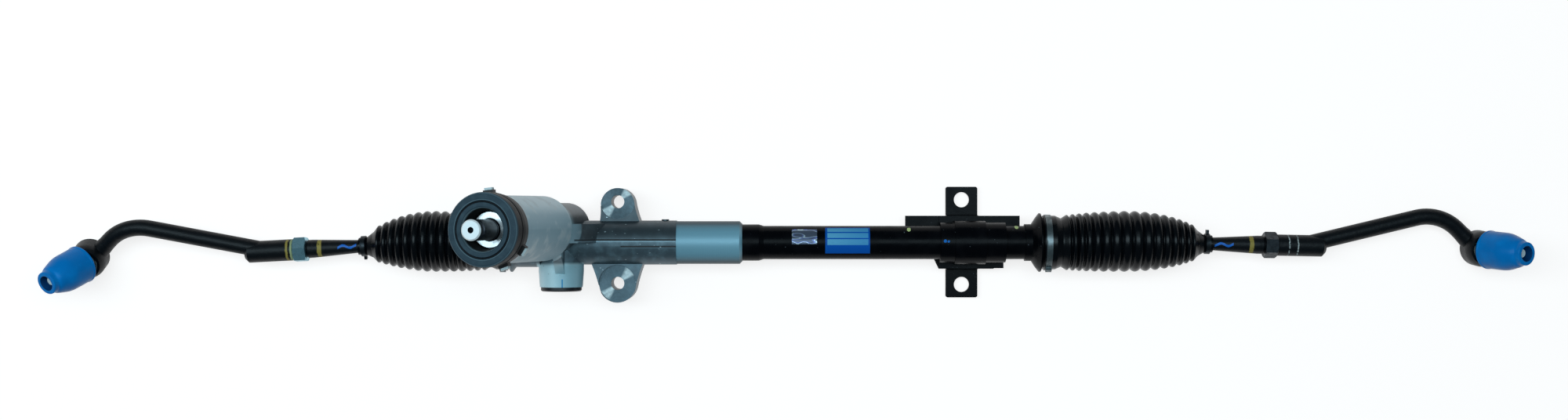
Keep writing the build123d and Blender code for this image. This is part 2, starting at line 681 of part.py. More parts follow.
def pinion_bearing_inner():
    """Inner ring of the ball bearing, pressed on the pinion shaft."""
    end = BEARING_START_S + BEARING_WIDTH
    outer_r = BEARING_SHAFT_R + BEARING_RING_T
    body = ring(outer_r, BEARING_SHAFT_R + SEAT, BEARING_START_S, end)
    return PINION_FRAME * (body - bearing_race())


def bearing_race():
    """Torus swept by the balls, a little larger than they are."""
    middle = (BEARING_R + BEARING_SHAFT_R) / 2
    race = Torus(middle, BEARING_BALL_R + FIT)
    return Pos(0, 0, BEARING_START_S + BEARING_WIDTH / 2) * race


def pinion_bearing_balls():
    """Seven balls spaced round the bearing, held in a thin cage."""
    middle = (BEARING_R + BEARING_SHAFT_R) / 2
    height = BEARING_START_S + BEARING_WIDTH / 2
    reach = BEARING_BALL_R + CAGE_T / 2
    cage = ring(middle + CAGE_T / 2, middle - CAGE_T / 2, height - reach, height + reach)
    for i in range(BEARING_BALLS):
        ball = Pos(middle, 0, height) * Sphere(BEARING_BALL_R)
        cage += Rot(0, 0, i * 360 / BEARING_BALLS) * ball
    return PINION_FRAME * cage


def pinion_top_bush():
    """Plain bush that steadies the shaft near the top of the tower."""
    end = TOWER_END_S - SEAL_LENGTH - 1
    return PINION_FRAME * ring(BEARING_R, BEARING_SHAFT_R + FIT, end - TOP_BUSH_LENGTH, end)


def pinion_oil_seal():
    """Lip seal above the top bush."""
    start = TOWER_END_S - SEAL_LENGTH - 1 + SEAT
    end = TOWER_END_S - 1
    return PINION_FRAME * turned([
        (BEARING_SHAFT_R + FIT, start + 1.5), (BEARING_SHAFT_R + 1.2, start), (BEARING_R, start),
        (BEARING_R, end), (BEARING_SHAFT_R + 2.5, end), (BEARING_SHAFT_R + 1.5, start + 3),
        (BEARING_SHAFT_R + FIT, start + 2.3),
    ])


def pinion_plug():
    """Round plug that closes the tower and shows inside the dust cover."""
    start = TOWER_END_S - 1 + SEAT
    return PINION_FRAME * turned([
        (BEARING_SHAFT_R + 0.8, start), (BEARING_R, start), (BEARING_R, TOWER_END_S),
        (PLUG_DISC_R, TOWER_END_S + 1), (PLUG_DISC_R, COVER_START_S + 3),
        (PLUG_DISC_R - 0.8, COVER_START_S + 3.8), (BEARING_SHAFT_R + 0.8, COVER_START_S + 3.8),
    ])


def dust_cover_retainer():
    """Flange ring and clips that hold the dust cover on the tower's end."""
    start = TOWER_END_S + SEAT
    flange = ring(RETAINER_R, COVER_THROAT_R + 1, start, COVER_START_S - SEAT)
    for angle in CLIP_ANGLES:
        clip = Box(3.4, 9.0, COVER_START_S - start - 0.6)
        height = (start + COVER_START_S) / 2
        flange += Rot(0, 0, angle) * Pos(RETAINER_R + 1.2, 0, height) * clip
    return PINION_FRAME * flange


def dust_cover_clips():
    """Three pale clips that grip the rim of the retainer."""
    height = (TOWER_END_S + COVER_START_S) / 2
    clips = []
    for angle in CLIP_ANGLES:
        depth = CLIP_REACH - RETAINER_R - 2.9 - SEAT
        clip = Box(depth, 7.0, 4.6)
        place = Pos(CLIP_REACH - depth / 2, 0, height)
        clips.append(PINION_FRAME * (Rot(0, 0, angle) * place * clip))
    return Compound(children=clips)


def dust_cover():
    """Moulded rubber ring that seals the tower against the bulkhead."""
    step = 1.4
    return PINION_FRAME * turned([
        (COVER_THROAT_R, COVER_START_S),
        (COVER_R, COVER_START_S),
        (COVER_R, COVER_END_S - 2.4),
        (COVER_R - 0.8, COVER_END_S - 0.8),
        (COVER_R - 2.4, COVER_END_S),
        (COVER_RING_R + step, COVER_END_S),
        (COVER_RING_R + step, COVER_END_S - step),
        (COVER_RING_R, COVER_END_S - step),
        (COVER_RING_R, COVER_END_S - 0.4),
        (COVER_MOUTH_R + 0.6, COVER_END_S - 0.4),
        (COVER_MOUTH_R, COVER_END_S - 1.4),
        (COVER_THROAT_R, COVER_START_S + 5),
    ])


# ================================================================= support yoke
def support_yoke():
    """Sliding block whose hollow face presses on the back of the rack."""
    block = rod(YOKE_R, -YOKE_FRONT_Y, -YOKE_BACK_Y)
    block -= rod(YOKE_POCKET_R, -YOKE_BACK_Y - YOKE_POCKET, -YOKE_BACK_Y + 1)
    hollow = rod(RACK_R + FIT, PINION_X - 2 * YOKE_R, PINION_X + 2 * YOKE_R)
    return YOKE_FRAME * block - ALONG_RACK * hollow


def yoke_spring():
    """Coil spring behind the support yoke."""
    start = -YOKE_BACK_Y - YOKE_POCKET + SPRING_WIRE
    height = SPRING_LENGTH - 2 * SPRING_WIRE
    helix = Helix(pitch=height / SPRING_TURNS, height=height, radius=SPRING_R)
    section = Plane(origin=helix @ 0, z_dir=helix % 0) * Circle(SPRING_WIRE)
    return YOKE_FRAME * Pos(0, 0, start) * sweep(section, path=helix)


def yoke_plug():
    """Screwed plug with a hexagon socket that sets the yoke's spring."""
    inner = -YOKE_BACK_Y - YOKE_POCKET + SPRING_LENGTH + SEAT
    flange_start = -YOKE_BOSS_Y + SEAT
    end = flange_start + YOKE_PLUG_FLANGE
    plug = turned([
        (0, inner), (YOKE_R - 1, inner), (YOKE_R, inner + 1), (YOKE_R, flange_start),
        (YOKE_PLUG_R, flange_start), (YOKE_PLUG_R, end - 1), (YOKE_PLUG_R - 1, end), (0, end),
    ])
    plug -= Pos(0, 0, end - 4) * extrude(RegularPolygon(YOKE_PLUG_HEX, 6), 6)
    groove_r = YOKE_R - YOKE_PLUG_GROOVE
    plug -= ring(YOKE_R + 1, groove_r, flange_start - 5, flange_start - 3)
    return YOKE_FRAME * plug


def yoke_o_ring():
    """Rubber ring in the plug's groove."""
    start = -YOKE_BOSS_Y + SEAT - 5 + SEAT
    inner_r = YOKE_R - YOKE_PLUG_GROOVE + SEAT
    return YOKE_FRAME * ring(YOKE_R, inner_r, start, start + 2 - 2 * SEAT)


# ================================================================= boots
def rib_first(side):
    """First crest of a boot, inboard of the ball; the deeper cup has a shorter boot."""
    return RIB_FIRST - CUP_REACH[side]


def rib_place(side, t):
    """Crest distance outboard of the ball: ribs stand closer near both ends."""
    crowd = 0.28
    spread = t - crowd / (2 * pi) * sin(2 * pi * t)
    return -rib_first(side) + (rib_first(side) + RIB_LAST) * spread


def crest_radius(t):
    """Crest radius: a slight belly, then a rounded fall to the small end."""
    fall = max(t - 0.5, 0) / 0.5
    return CREST_BIG_R + CREST_BULGE * sin(pi * t) - (CREST_BIG_R - CREST_SMALL_R) * fall**1.55


def boot_stations(side):
    """(distance, radius) of every crest and valley, big end first."""
    gaps = RIB_COUNT[side] - 1
    collar_r = CUP_GROOVE_R + SEAT + COLLAR_T
    neck_r = ROD_NECK_R + SOFT + BOOT_WALL
    stations = [(cup_back(side) + COLLAR_START, collar_r)]
    stations.append((cup_back(side) + COLLAR_END, collar_r))
    stations.append((rib_place(side, 0) - 5.0, CREST_BIG_R - RIB_DEPTH))
    for i in range(gaps):
        t = i / gaps
        middle = t + 0.5 / gaps
        stations.append((rib_place(side, t), crest_radius(t)))
        stations.append((rib_place(side, middle), crest_radius(middle) - RIB_DEPTH))
    stations.append((rib_place(side, 1), crest_radius(1)))
    stations.append((RIB_LAST + FUNNEL_LENGTH, FUNNEL_R))
    stations.append((BOOT_NECK_START, neck_r))
    stations.append((BOOT_NECK_END, neck_r))
    return stations


def neck_shift(side, distance):
    """Sideways place of the boot's centre line, which bends late to meet the rod."""
    rod_place = rod_location(side)
    direction = (rod_place * Pos(1, 0, 0)).position - rod_place.position
    start = -rib_first(side) / 2
    bend = min(max(distance - start, 0) / (BOOT_NECK_START - start), 1)
    reach = max(distance, BOOT_NECK_START) * bend**4 / abs(direction.X)
    return direction.Y * reach, direction.Z * reach


def boot_skin(side, inset):
    """Loft through the boot's crests and valleys, drawn in by inset."""
    hand, ball_x, heading, roll = SIDES[side]
    wires = []
    for distance, radius in boot_stations(side):
        shift_y, shift_z = neck_shift(side, distance)
        centre = (ball_x + hand * distance, shift_y, shift_z)
        section = Plane(origin=centre, x_dir=(0, 1, 0), z_dir=(hand, 0, 0))
        wires.append(section * Wire.make_circle(radius - inset))
    return Solid.make_loft(wires, ruled=True)


def boot(side):
    """Bellows boot from the cup to the tie rod's neck."""
    return boot_skin(side, 0) - boot_skin(side, BOOT_WALL)


def boot_band(side):
    """Clamp band round the boot's big end, with its crimped ear."""
    start = cup_back(side) + BAND_START
    inner_r = CUP_GROOVE_R + COLLAR_T + 2 * SEAT
    band = ring(inner_r + BAND_T, inner_r, start, start + BAND_WIDTH)
    ear_height, ear_width = 3.4, 4.5
    ear = Box(ear_height, ear_width, BAND_WIDTH, align=(Align.MIN, Align.CENTER, Align.MIN))
    ear = Pos(inner_r + BAND_T / 2, 0, start) * ear
    return outboard_frame(side) * (band + Rot(0, 0, EAR_ANGLE[side]) * ear)


def boot_clip(side):
    """Spring clip round the boot's neck."""
    inner_r = ROD_NECK_R + SOFT + BOOT_WALL + SOFT
    start = BOOT_NECK_END - CLIP_WIDTH - 2.5
    clip = ring(inner_r + CLIP_T, inner_r, start, start + CLIP_WIDTH)
    ears = Box(4.0, 3.6, 2.6, align=(Align.MIN, Align.CENTER, Align.CENTER))
    ears = Pos(inner_r + CLIP_T / 2, 0, start + CLIP_WIDTH / 2) * ears
    return rod_location(side) * (ALONG_ROD * (clip + ears))


# ================================================================= inner ball joints
def inner_socket(side):
    """Steel ball housing that screws into the rack's end."""
    pocket_r = INNER_BALL_R + SEAT_WALL + 2 * FIT
    mouth_r = sqrt(pocket_r**2 - INNER_SOCKET_LIP**2)
    body = turned([
        (0, -INNER_SOCKET_BACK), (INNER_SOCKET_R - 1, -INNER_SOCKET_BACK),
        (INNER_SOCKET_R, -INNER_SOCKET_BACK + 1), (INNER_SOCKET_R, 1.5),
        (mouth_r + 1.5, INNER_SOCKET_LIP), (0, INNER_SOCKET_LIP),
    ])
    body += rod(SOCKET_STUD_R, -RACK_END - SOCKET_STUD_LENGTH, -INNER_SOCKET_BACK)
    body -= Sphere(pocket_r)
    body -= rod(mouth_r, 0, INNER_SOCKET_LIP + 1)
    flat = Box(40, 8, 12, align=(Align.CENTER, Align.MIN, Align.CENTER))
    for turn in (0, 180):
        body -= Rot(0, 0, turn) * Pos(0, INNER_SOCKET_R - 1.4, -INNER_SOCKET_BACK + 6) * flat
    return outboard_frame(side) * body


def inner_seat(side):
    """Plastic bearing seat between the inner ball and its socket."""
    outer_r = INNER_BALL_R + SEAT_WALL + FIT
    shell = Sphere(outer_r) - Sphere(INNER_BALL_R + FIT)
    keep_to = 5.0
    shell -= rod(outer_r + 1, keep_to, outer_r + 1)
    return rod_location(side) * (ALONG_ROD * shell)


def lock_washer(side):
    """Staked washer between the rack's end and the socket."""
    washer = ring(INNER_SOCKET_R - 2, SOCKET_STUD_R + SEAT, -RACK_END + SEAT,
                  -INNER_SOCKET_BACK - SEAT)
    return outboard_frame(side) * washer


def inner_tie_rod(side):
    """Ball and tapered shank with a threaded end."""
    ball_exit = sqrt(INNER_BALL_R**2 - ROD_NECK_R**2)
    shank = turned([
        (0, 0), (ROD_NECK_R, 0), (ROD_NECK_R, ROD_TAPER_START),
        (ROD_SHANK_R, NUT_START - 6), (ROD_SHANK_R, NUT_START - 1.5),
        (THREAD_R, NUT_START - 0.5), (THREAD_R, THREAD_END - 1.5),
        (THREAD_R - 1.5, THREAD_END), (0, THREAD_END),
    ])
    neck_cone = turned([
        (0, ball_exit - 3), (ROD_NECK_R + 1.4, ball_exit - 2), (ROD_NECK_R, ball_exit + 1),
        (0, ball_exit + 1),
    ])
    return rod_location(side) * (ALONG_ROD * (Sphere(INNER_BALL_R) + shank + neck_cone))


def jam_nut(side):
    """Hexagon nut that locks the rod end's thread."""
    blank = Pos(0, 0, NUT_START) * extrude(
        RegularPolygon(NUT_FLATS / 2, 6, major_radius=False), NUT_LENGTH)
    corner_r = NUT_FLATS / sqrt(3)
    trim = turned([
        (0, NUT_START), (corner_r - 1.2, NUT_START), (corner_r + 0.2, NUT_START + 1.2),
        (corner_r + 0.2, NUT_START + NUT_LENGTH - 1.2),
        (corner_r - 1.2, NUT_START + NUT_LENGTH), (0, NUT_START + NUT_LENGTH),
    ])
    nut = (blank & trim) - rod(THREAD_R + SEAT, NUT_START - 1, NUT_START + NUT_LENGTH + 1)
    return rod_location(side) * (ALONG_ROD * nut)


# ================================================================= tie rod ends
def arm_path(hand):
    """Centre line of the swan-necked arm, from inside the sleeve to the socket."""
    start = (ARM_START, 0, 0)
    corner = (ROD_LENGTH - ARM_CORNER_BACK, hand * ARM_CORNER_V, -ARM_DROP * 0.6)
    end = (ROD_LENGTH - 2, -hand * 1.5, -ARM_DROP)
    return FilletPolyline(start, corner, end, radius=ARM_BEND_R)


def outer_socket_body():
    """Forged pot round the outer ball, rounded above and flat below."""
    base_r = OUTER_SOCKET_R - BASE_CHAMFER
    pot = Sphere(OUTER_SOCKET_R) & rod(OUTER_SOCKET_R + 1, -1, OUTER_SOCKET_TOP)
    pot += turned([
        (0, -OUTER_SOCKET_BASE), (base_r, -OUTER_SOCKET_BASE),
        (OUTER_SOCKET_R, -OUTER_SOCKET_BASE + BASE_CHAMFER), (OUTER_SOCKET_R, 0), (0, 0),
    ])
    return pot


def tie_rod_end(side):
    """Threaded sleeve, bent arm and ball pot forged in one piece."""
    hand = SIDES[side][0]
    sleeve_start = NUT_START + NUT_LENGTH + SEAT
    path = arm_path(hand)
    section = Plane(origin=path @ 0, z_dir=path % 0) * Circle(ARM_R)
    arm = sweep(section, path=path)
    end_run = Plane(origin=path @ 1, z_dir=-(path % 1))
    flare = end_run * turned([
        (0, 0), (ARM_R + ARM_FLARE, 0), (ARM_R + ARM_FLARE, 10), (ARM_R - 0.2, 26), (0, 26),
    ])
    sleeve = ALONG_ROD * turned([
        (0, sleeve_start), (SLEEVE_R - 0.8, sleeve_start), (SLEEVE_R, sleeve_start + 0.8),
        (SLEEVE_R, SLEEVE_END - 3), (SLEEVE_R - 3, SLEEVE_END), (0, SLEEVE_END),
    ])
    forged = sleeve + arm + flare + Pos(ROD_LENGTH, 0, 0) * outer_socket_body()
    pocket_r = OUTER_BALL_R + SEAT_WALL + 2 * FIT
    pocket = Sphere(pocket_r) + rod(OUTER_MOUTH_R, 0, OUTER_SOCKET_TOP + 1)
    pocket += rod(BASE_PLATE_R + SEAT, -OUTER_SOCKET_BASE - 1, -6)
    forged -= Pos(ROD_LENGTH, 0, 0) * pocket
    forged -= ALONG_ROD * rod(THREAD_R + SEAT, sleeve_start - 1, THREAD_END + 1.5)
    return rod_location(side) * forged


def socket_base_plate(side):
    """Plate rolled into the bottom of the outer socket."""
    start = -OUTER_SOCKET_BASE + 0.3
    plate = rod(BASE_PLATE_R, start, start + BASE_PLATE_T)
    return socket_location(side) * plate


def outer_seat(side):
    """Plastic bearing band round the outer ball, which tips with the stud."""
    outer_r = OUTER_BALL_R + SEAT_WALL + FIT
    band = Sphere(outer_r) & rod(outer_r + 1, -7.0, 2.0)
    return stud_location(side) * (band - Sphere(OUTER_BALL_R + FIT))


def ball_stud(side):
    """Ball with a tapered seat and a threaded end."""
    ball_flat = 10.5
    ball = Sphere(OUTER_BALL_R) - Pos(0, 0, -ball_flat) * rod(OUTER_BALL_R, -10, 0)
    exit_height = sqrt(OUTER_BALL_R**2 - STUD_NECK_R**2)
    shank = turned([
        (0, 0), (STUD_NECK_R, 0), (STUD_NECK_R, exit_height + 4),
        (STUD_TAPER_R, exit_height + 6), (STUD_THREAD_R + 0.2, STUD_LENGTH - 17),
        (STUD_THREAD_R, STUD_LENGTH - 16), (STUD_THREAD_R, STUD_LENGTH - 2.6),
        (STUD_TIP_R, STUD_LENGTH - 1.4), (STUD_TIP_R, STUD_LENGTH), (0, STUD_LENGTH),
    ])
    return stud_location(side) * (ball + shank)


def joint_boot(side):
    """Rubber skirt that wipes over the socket's round top and grips the stud."""
    shell = Sphere(SKIRT_R) & rod(SKIRT_R + 1, SKIRT_EDGE, SKIRT_R + 1)
    shell += rod(SKIRT_COLLAR_R, SKIRT_COLLAR_START, SKIRT_COLLAR_END)
    shell -= Sphere(OUTER_SOCKET_R + SOFT)
    shell -= rod(STUD_TAPER_R + SEAT, 0, SKIRT_COLLAR_END + 1)
    return stud_location(side) * shell


def shipping_cap(side):
    """Soft plastic cap over the stud, with an open nozzle at its end."""
    outside = turned([
        (0, CAP_BASE), (CAP_R, CAP_BASE), (CAP_R, CAP_SHOULDER - 3),
        (CAP_R - 1.4, CAP_SHOULDER), (NOZZLE_R + 0.8, CAP_NOZZLE_START),
        (NOZZLE_R, CAP_NOZZLE_START + 1.5), (NOZZLE_R, CAP_END - 0.8),
        (NOZZLE_R - 0.8, CAP_END), (0, CAP_END),
    ])
    inner_r = CAP_R - CAP_WALL
    inside = turned([
        (0, CAP_BASE - 1), (inner_r, CAP_BASE - 1), (inner_r, CAP_SHOULDER - 4),
        (inner_r - 1.4, CAP_SHOULDER - 1), (NOZZLE_HOLE_R, CAP_NOZZLE_START - 1),
        (NOZZLE_HOLE_R, CAP_END + 1), (0, CAP_END + 1),
    ])
    return stud_location(side) * (outside - inside)


# ================================================================= writing the pieces
PIECES = {
    "gear_housing": gear_housing,
    "rack_tube": rack_tube,
    "tube_end_cup": tube_end_cup,
    "rack_bush": rack_bush,
    "bracket_base": bracket_base,
    "bracket_saddle": bracket_saddle,
    "pinion_shaft": pinion_shaft,
    "pinion_needle_bush": pinion_needle_bush,
    "pinion_bearing_outer": pinion_bearing_outer,
    "pinion_bearing_inner": pinion_bearing_inner,
    "pinion_bearing_balls": pinion_bearing_balls,
    "pinion_top_bush": pinion_top_bush,
    "pinion_oil_seal": pinion_oil_seal,
    "pinion_plug": pinion_plug,
    "dust_cover_retainer": dust_cover_retainer,
    "dust_cover_clips": dust_cover_clips,
    "dust_cover": dust_cover,
    "support_yoke": support_yoke,
    "yoke_spring": yoke_spring,
    "yoke_plug": yoke_plug,
    "yoke_o_ring": yoke_o_ring,
    "rack_bar": rack_bar,
}
SIDE_PIECES = {
    "boot": boot,
    "boot_band": boot_band,
    "boot_clip": boot_clip,
    "inner_socket": inner_socket,
    "inner_seat": inner_seat,
    "lock_washer": lock_washer,
    "inner_tie_rod": inner_tie_rod,
    "jam_nut": jam_nut,
    "tie_rod_end": tie_rod_end,
    "socket_base_plate": socket_base_plate,
    "outer_seat": outer_seat,
    "ball_stud": ball_stud,
    "joint_boot": joint_boot,
    "shipping_cap": shipping_cap,
}


def main():
    """Build every piece and write one file for each."""
    os.makedirs("parts", exist_ok=True)
    for name, make in PIECES.items():
        export_step(make(), f"parts/{name}.step")
    for name, make in SIDE_PIECES.items():
        for side in SIDES:
            export_step(make(side), f"parts/{name}_{side}.step")


main()
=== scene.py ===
# %% [markdown]
# # A rack-and-pinion steering gear on a pale bench
# The engineering model already holds every piece at its real size: the cast housing, the
# tube, the rack, the tie rods and their ball joints.  This notebook gives each piece its
# finish, and makes again, as smooth surfaces, the soft and moulded pieces whose form is
# finer than a plain solid.  Lengths are metres, X runs along the rack and Z points up.

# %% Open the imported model
import json
import math

import bpy
import numpy as np
from mathutils import Matrix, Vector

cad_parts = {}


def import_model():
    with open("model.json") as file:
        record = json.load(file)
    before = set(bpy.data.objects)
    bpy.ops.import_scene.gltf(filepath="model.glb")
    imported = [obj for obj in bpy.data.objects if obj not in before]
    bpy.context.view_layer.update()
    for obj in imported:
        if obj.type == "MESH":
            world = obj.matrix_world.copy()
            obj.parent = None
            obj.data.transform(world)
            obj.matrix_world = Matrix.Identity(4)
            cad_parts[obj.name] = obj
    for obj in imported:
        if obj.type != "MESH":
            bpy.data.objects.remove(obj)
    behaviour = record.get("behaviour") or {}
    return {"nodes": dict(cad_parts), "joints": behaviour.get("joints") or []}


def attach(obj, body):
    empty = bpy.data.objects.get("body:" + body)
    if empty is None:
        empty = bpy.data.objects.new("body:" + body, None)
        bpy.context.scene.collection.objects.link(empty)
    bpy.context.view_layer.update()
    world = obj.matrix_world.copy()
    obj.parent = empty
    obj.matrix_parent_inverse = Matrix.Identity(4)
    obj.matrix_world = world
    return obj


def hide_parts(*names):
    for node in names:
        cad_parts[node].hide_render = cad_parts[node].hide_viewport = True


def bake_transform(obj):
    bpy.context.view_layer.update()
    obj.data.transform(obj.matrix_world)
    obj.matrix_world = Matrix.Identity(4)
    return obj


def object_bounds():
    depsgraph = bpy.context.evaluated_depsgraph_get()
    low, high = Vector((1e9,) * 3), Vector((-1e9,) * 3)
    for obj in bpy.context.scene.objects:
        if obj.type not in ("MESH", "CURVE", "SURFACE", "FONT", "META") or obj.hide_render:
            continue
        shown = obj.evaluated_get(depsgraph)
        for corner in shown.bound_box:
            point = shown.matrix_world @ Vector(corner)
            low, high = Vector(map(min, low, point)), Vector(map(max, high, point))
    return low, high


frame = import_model()
cad_box = [list(corner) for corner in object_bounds()]
nodes = frame["nodes"]
joints = {joint["name"]: joint for joint in frame["joints"]}
print("pieces in the model:", len(nodes))
print("model box:", [[round(v, 4) for v in corner] for corner in cad_box])

# %% [markdown]
# ## Where things are
# Most pieces here are round about some axis, so the notebook keeps a small *place* for each
# axis: an origin and three unit directions.  A point is then given as it would be on a
# lathe, by its radius, its angle and its distance along the axis.  The axes aren't typed in
# again: the joints of the model already know where the pinion, the rods and the ball studs
# turn, so the places are read from them.

# %% Axes of the pinion, the rods and the ball studs
MM = 0.001
HAND = {"left": -1.0, "right": 1.0}
ORIGIN = (0, 0, 0)
X, Y, Z = (1, 0, 0), (0, 1, 0), (0, 0, 1)


def unit(v):
    """A vector divided by its own length."""
    v = np.asarray(v, float)
    return v / np.linalg.norm(v)


def axis_place(origin, along, hint):
    """Origin and rows (x, y, z): z lies along the axis, x as near to the hint as it can."""
    z = unit(along)
    x = unit(np.asarray(hint, float) - z * np.dot(hint, z))
    return np.asarray(origin, float), np.array([x, np.cross(z, x), z])


def world(local, place):
    """World points: the origin plus each local coordinate times its direction."""
    origin, directions = place
    return origin + np.asarray(local, float) @ directions


def outward(direction, hand):
    """The same line, turned to point to the side's own end of the gear."""
    direction = unit(direction)
    return direction if direction[0] * hand > 0 else -direction


def upward(direction):
    """The same line, turned to point up."""
    direction = unit(direction)
    return direction if direction[2] > 0 else -direction


RACK = axis_place(ORIGIN, X, Y)
PINION = axis_place(joints["pinion_spin"]["pos_m"], upward(joints["pinion_spin"]["axis"]), X)
OUTBOARD, ROD, STUD = {}, {}, {}
for side, hand in HAND.items():
    ball = joints[f"tie_rod_lift_{side}"]["pos_m"]
    OUTBOARD[side] = axis_place(ball, (hand, 0, 0), Y)
    ROD[side] = axis_place(ball, outward(joints[f"rod_end_twist_{side}"]["axis"], hand), Z)
    STUD[side] = axis_place(joints[f"stud_spin_{side}"]["pos_m"],
                            upward(joints[f"stud_spin_{side}"]["axis"]), (hand, 0, 0))
    print(side, "inner ball at", np.round(ball, 4),
          "stud leans along", np.round(STUD[side][1][2], 3))

# %% [markdown]
# ## Camera
# The gear lies flat and is looked at from straight above, with the rack across the picture.
# How far the tall pinion tower seems to lean depends on the camera's height, so height and
# lens are chosen together: 1.86 m up, with a lens a little longer than normal.

# %% Camera
VIEW_CENTRE = (0.1516, 0.0297)
VIEW_HEIGHT = 1.86
SENSOR_WIDTH = 36.0
LENS = 46.8

camera_data = bpy.data.cameras.new("camera")
camera_data.sensor_width = SENSOR_WIDTH
camera_data.lens = LENS
camera = bpy.data.objects.new("camera", camera_data)
camera.location = (*VIEW_CENTRE, VIEW_HEIGHT)
bpy.context.scene.collection.objects.link(camera)
bpy.context.scene.camera = camera
bpy.context.scene.view_settings.view_transform = "Standard"
print("camera", VIEW_HEIGHT, "m up, lens", LENS, "mm")

# %% [markdown]
# ## Floor and light
# A round bar shows its form by what it mirrors: a bright panel overhead makes a soft band
# along its top, and a dim room leaves its flanks dark.  So the light is one long, narrow
# panel over the rack and an even, dim world, both slightly cool like daylight.  The floor
# would look blue under them, so its paper is a little warm.  It gets some light of its own
# for the rays that look at it, mirror it or pass through something clear, so that it stays
# white while the soft shadow under the gear remains.

# %% Stage
FLOOR_SIZE = 12.0
FLOOR_WHITE = (0.46, 0.385, 0.36)
FLOOR_GLOW = 0.78
FLOOR_ROUGHNESS = 0.95
ROOM_LIGHT = 0.13
PANEL_SIZE = (3.8, 0.9)
PANEL_PLACE = (-0.35, 0.35, 2.3)
PANEL_POWER = 46.0
COOL = (0.68, 0.90, 1.0)


def link(obj):
    """Put a new object in the scene and hand it back."""
    bpy.context.scene.collection.objects.link(obj)
    return obj


def even_room(strength):
    """A world of one even, slightly cool light."""
    room = bpy.data.worlds.new("even_room")
    room.use_nodes = True
    background = room.node_tree.nodes["Background"]
    background.inputs["Color"].default_value = (*COOL, 1)
    background.inputs["Strength"].default_value = strength
    bpy.context.scene.world = room


def panel(name, location, aim, size, power):
    """A rectangular lamp whose face looks from its location to the aim point."""
    data = bpy.data.lights.new(name, "AREA")
    data.shape = "RECTANGLE"
    data.size, data.size_y = size
    data.energy = power
    data.color = COOL
    back = unit(np.subtract(location, aim))
    across = unit(np.cross((0, 1, 0.001), back))
    turn = np.array([across, np.cross(back, across), back]).T
    lamp = link(bpy.data.objects.new(name, data))
    lamp.matrix_world = Matrix.Translation(location) @ Matrix(turn).to_4x4()


def paper_floor(height):
    """A wide white sheet at the plane the gear stands on."""
    half = FLOOR_SIZE / 2
    corners = [(-half, -half, height), (half, -half, height),
               (half, half, height), (-half, half, height)]
    mesh = bpy.data.meshes.new("floor")
    mesh.from_pydata(corners, [], [(0, 1, 2, 3)])
    paper = bpy.data.materials.new("floor_paper")
    paper.use_nodes = True
    tree = paper.node_tree
    shader = tree.nodes["Principled BSDF"]
    shader.inputs["Base Color"].default_value = (*FLOOR_WHITE, 1)
    shader.inputs["Roughness"].default_value = FLOOR_ROUGHNESS
    shader.inputs["Specular IOR Level"].default_value = 0.0
    shader.inputs["Emission Color"].default_value = (1, 1, 1, 1)
    rays = tree.nodes.new("ShaderNodeLightPath")
    seen = rays.outputs["Is Camera Ray"]
    for kind in ("Is Glossy Ray", "Is Transmission Ray"):
        either = tree.nodes.new("ShaderNodeMath")
        either.operation = "MAXIMUM"
        tree.links.new(seen, either.inputs[0])
        tree.links.new(rays.outputs[kind], either.inputs[1])
        seen = either.outputs[0]
    glow = tree.nodes.new("ShaderNodeMath")
    glow.operation = "MULTIPLY"
    glow.inputs[1].default_value = FLOOR_GLOW
    tree.links.new(seen, glow.inputs[0])
    tree.links.new(glow.outputs[0], shader.inputs["Emission Strength"])
    mesh.materials.append(paper)
    return link(bpy.data.objects.new("floor", mesh))


paper_floor(cad_box[0][2])
even_room(ROOM_LIGHT)
panel("overhead_panel", PANEL_PLACE, (VIEW_CENTRE[0], 0.0, 0.0), PANEL_SIZE, PANEL_POWER)
print("floor at", round(cad_box[0][2], 4), "m")

# %% [markdown]
# ## A finish, layer by layer
# A real surface is a base coat with things laid over it: machining marks, a paint mark,
# dust on the high spots.  `Finish` builds a material in that order.  It starts from one
# colour and roughness, then each call lays something over what is already there where a
# mask says so.  Masks are worked out from the point on the piece itself (its Object
# coordinates), as a distance along or around an axis, so nothing depends on the camera.

# %% The finish builder
MIX_COLOUR_A, MIX_COLOUR_B, MIX_COLOUR_OUT = 6, 7, 2
MIX_NUMBER_A, MIX_NUMBER_B = 2, 3


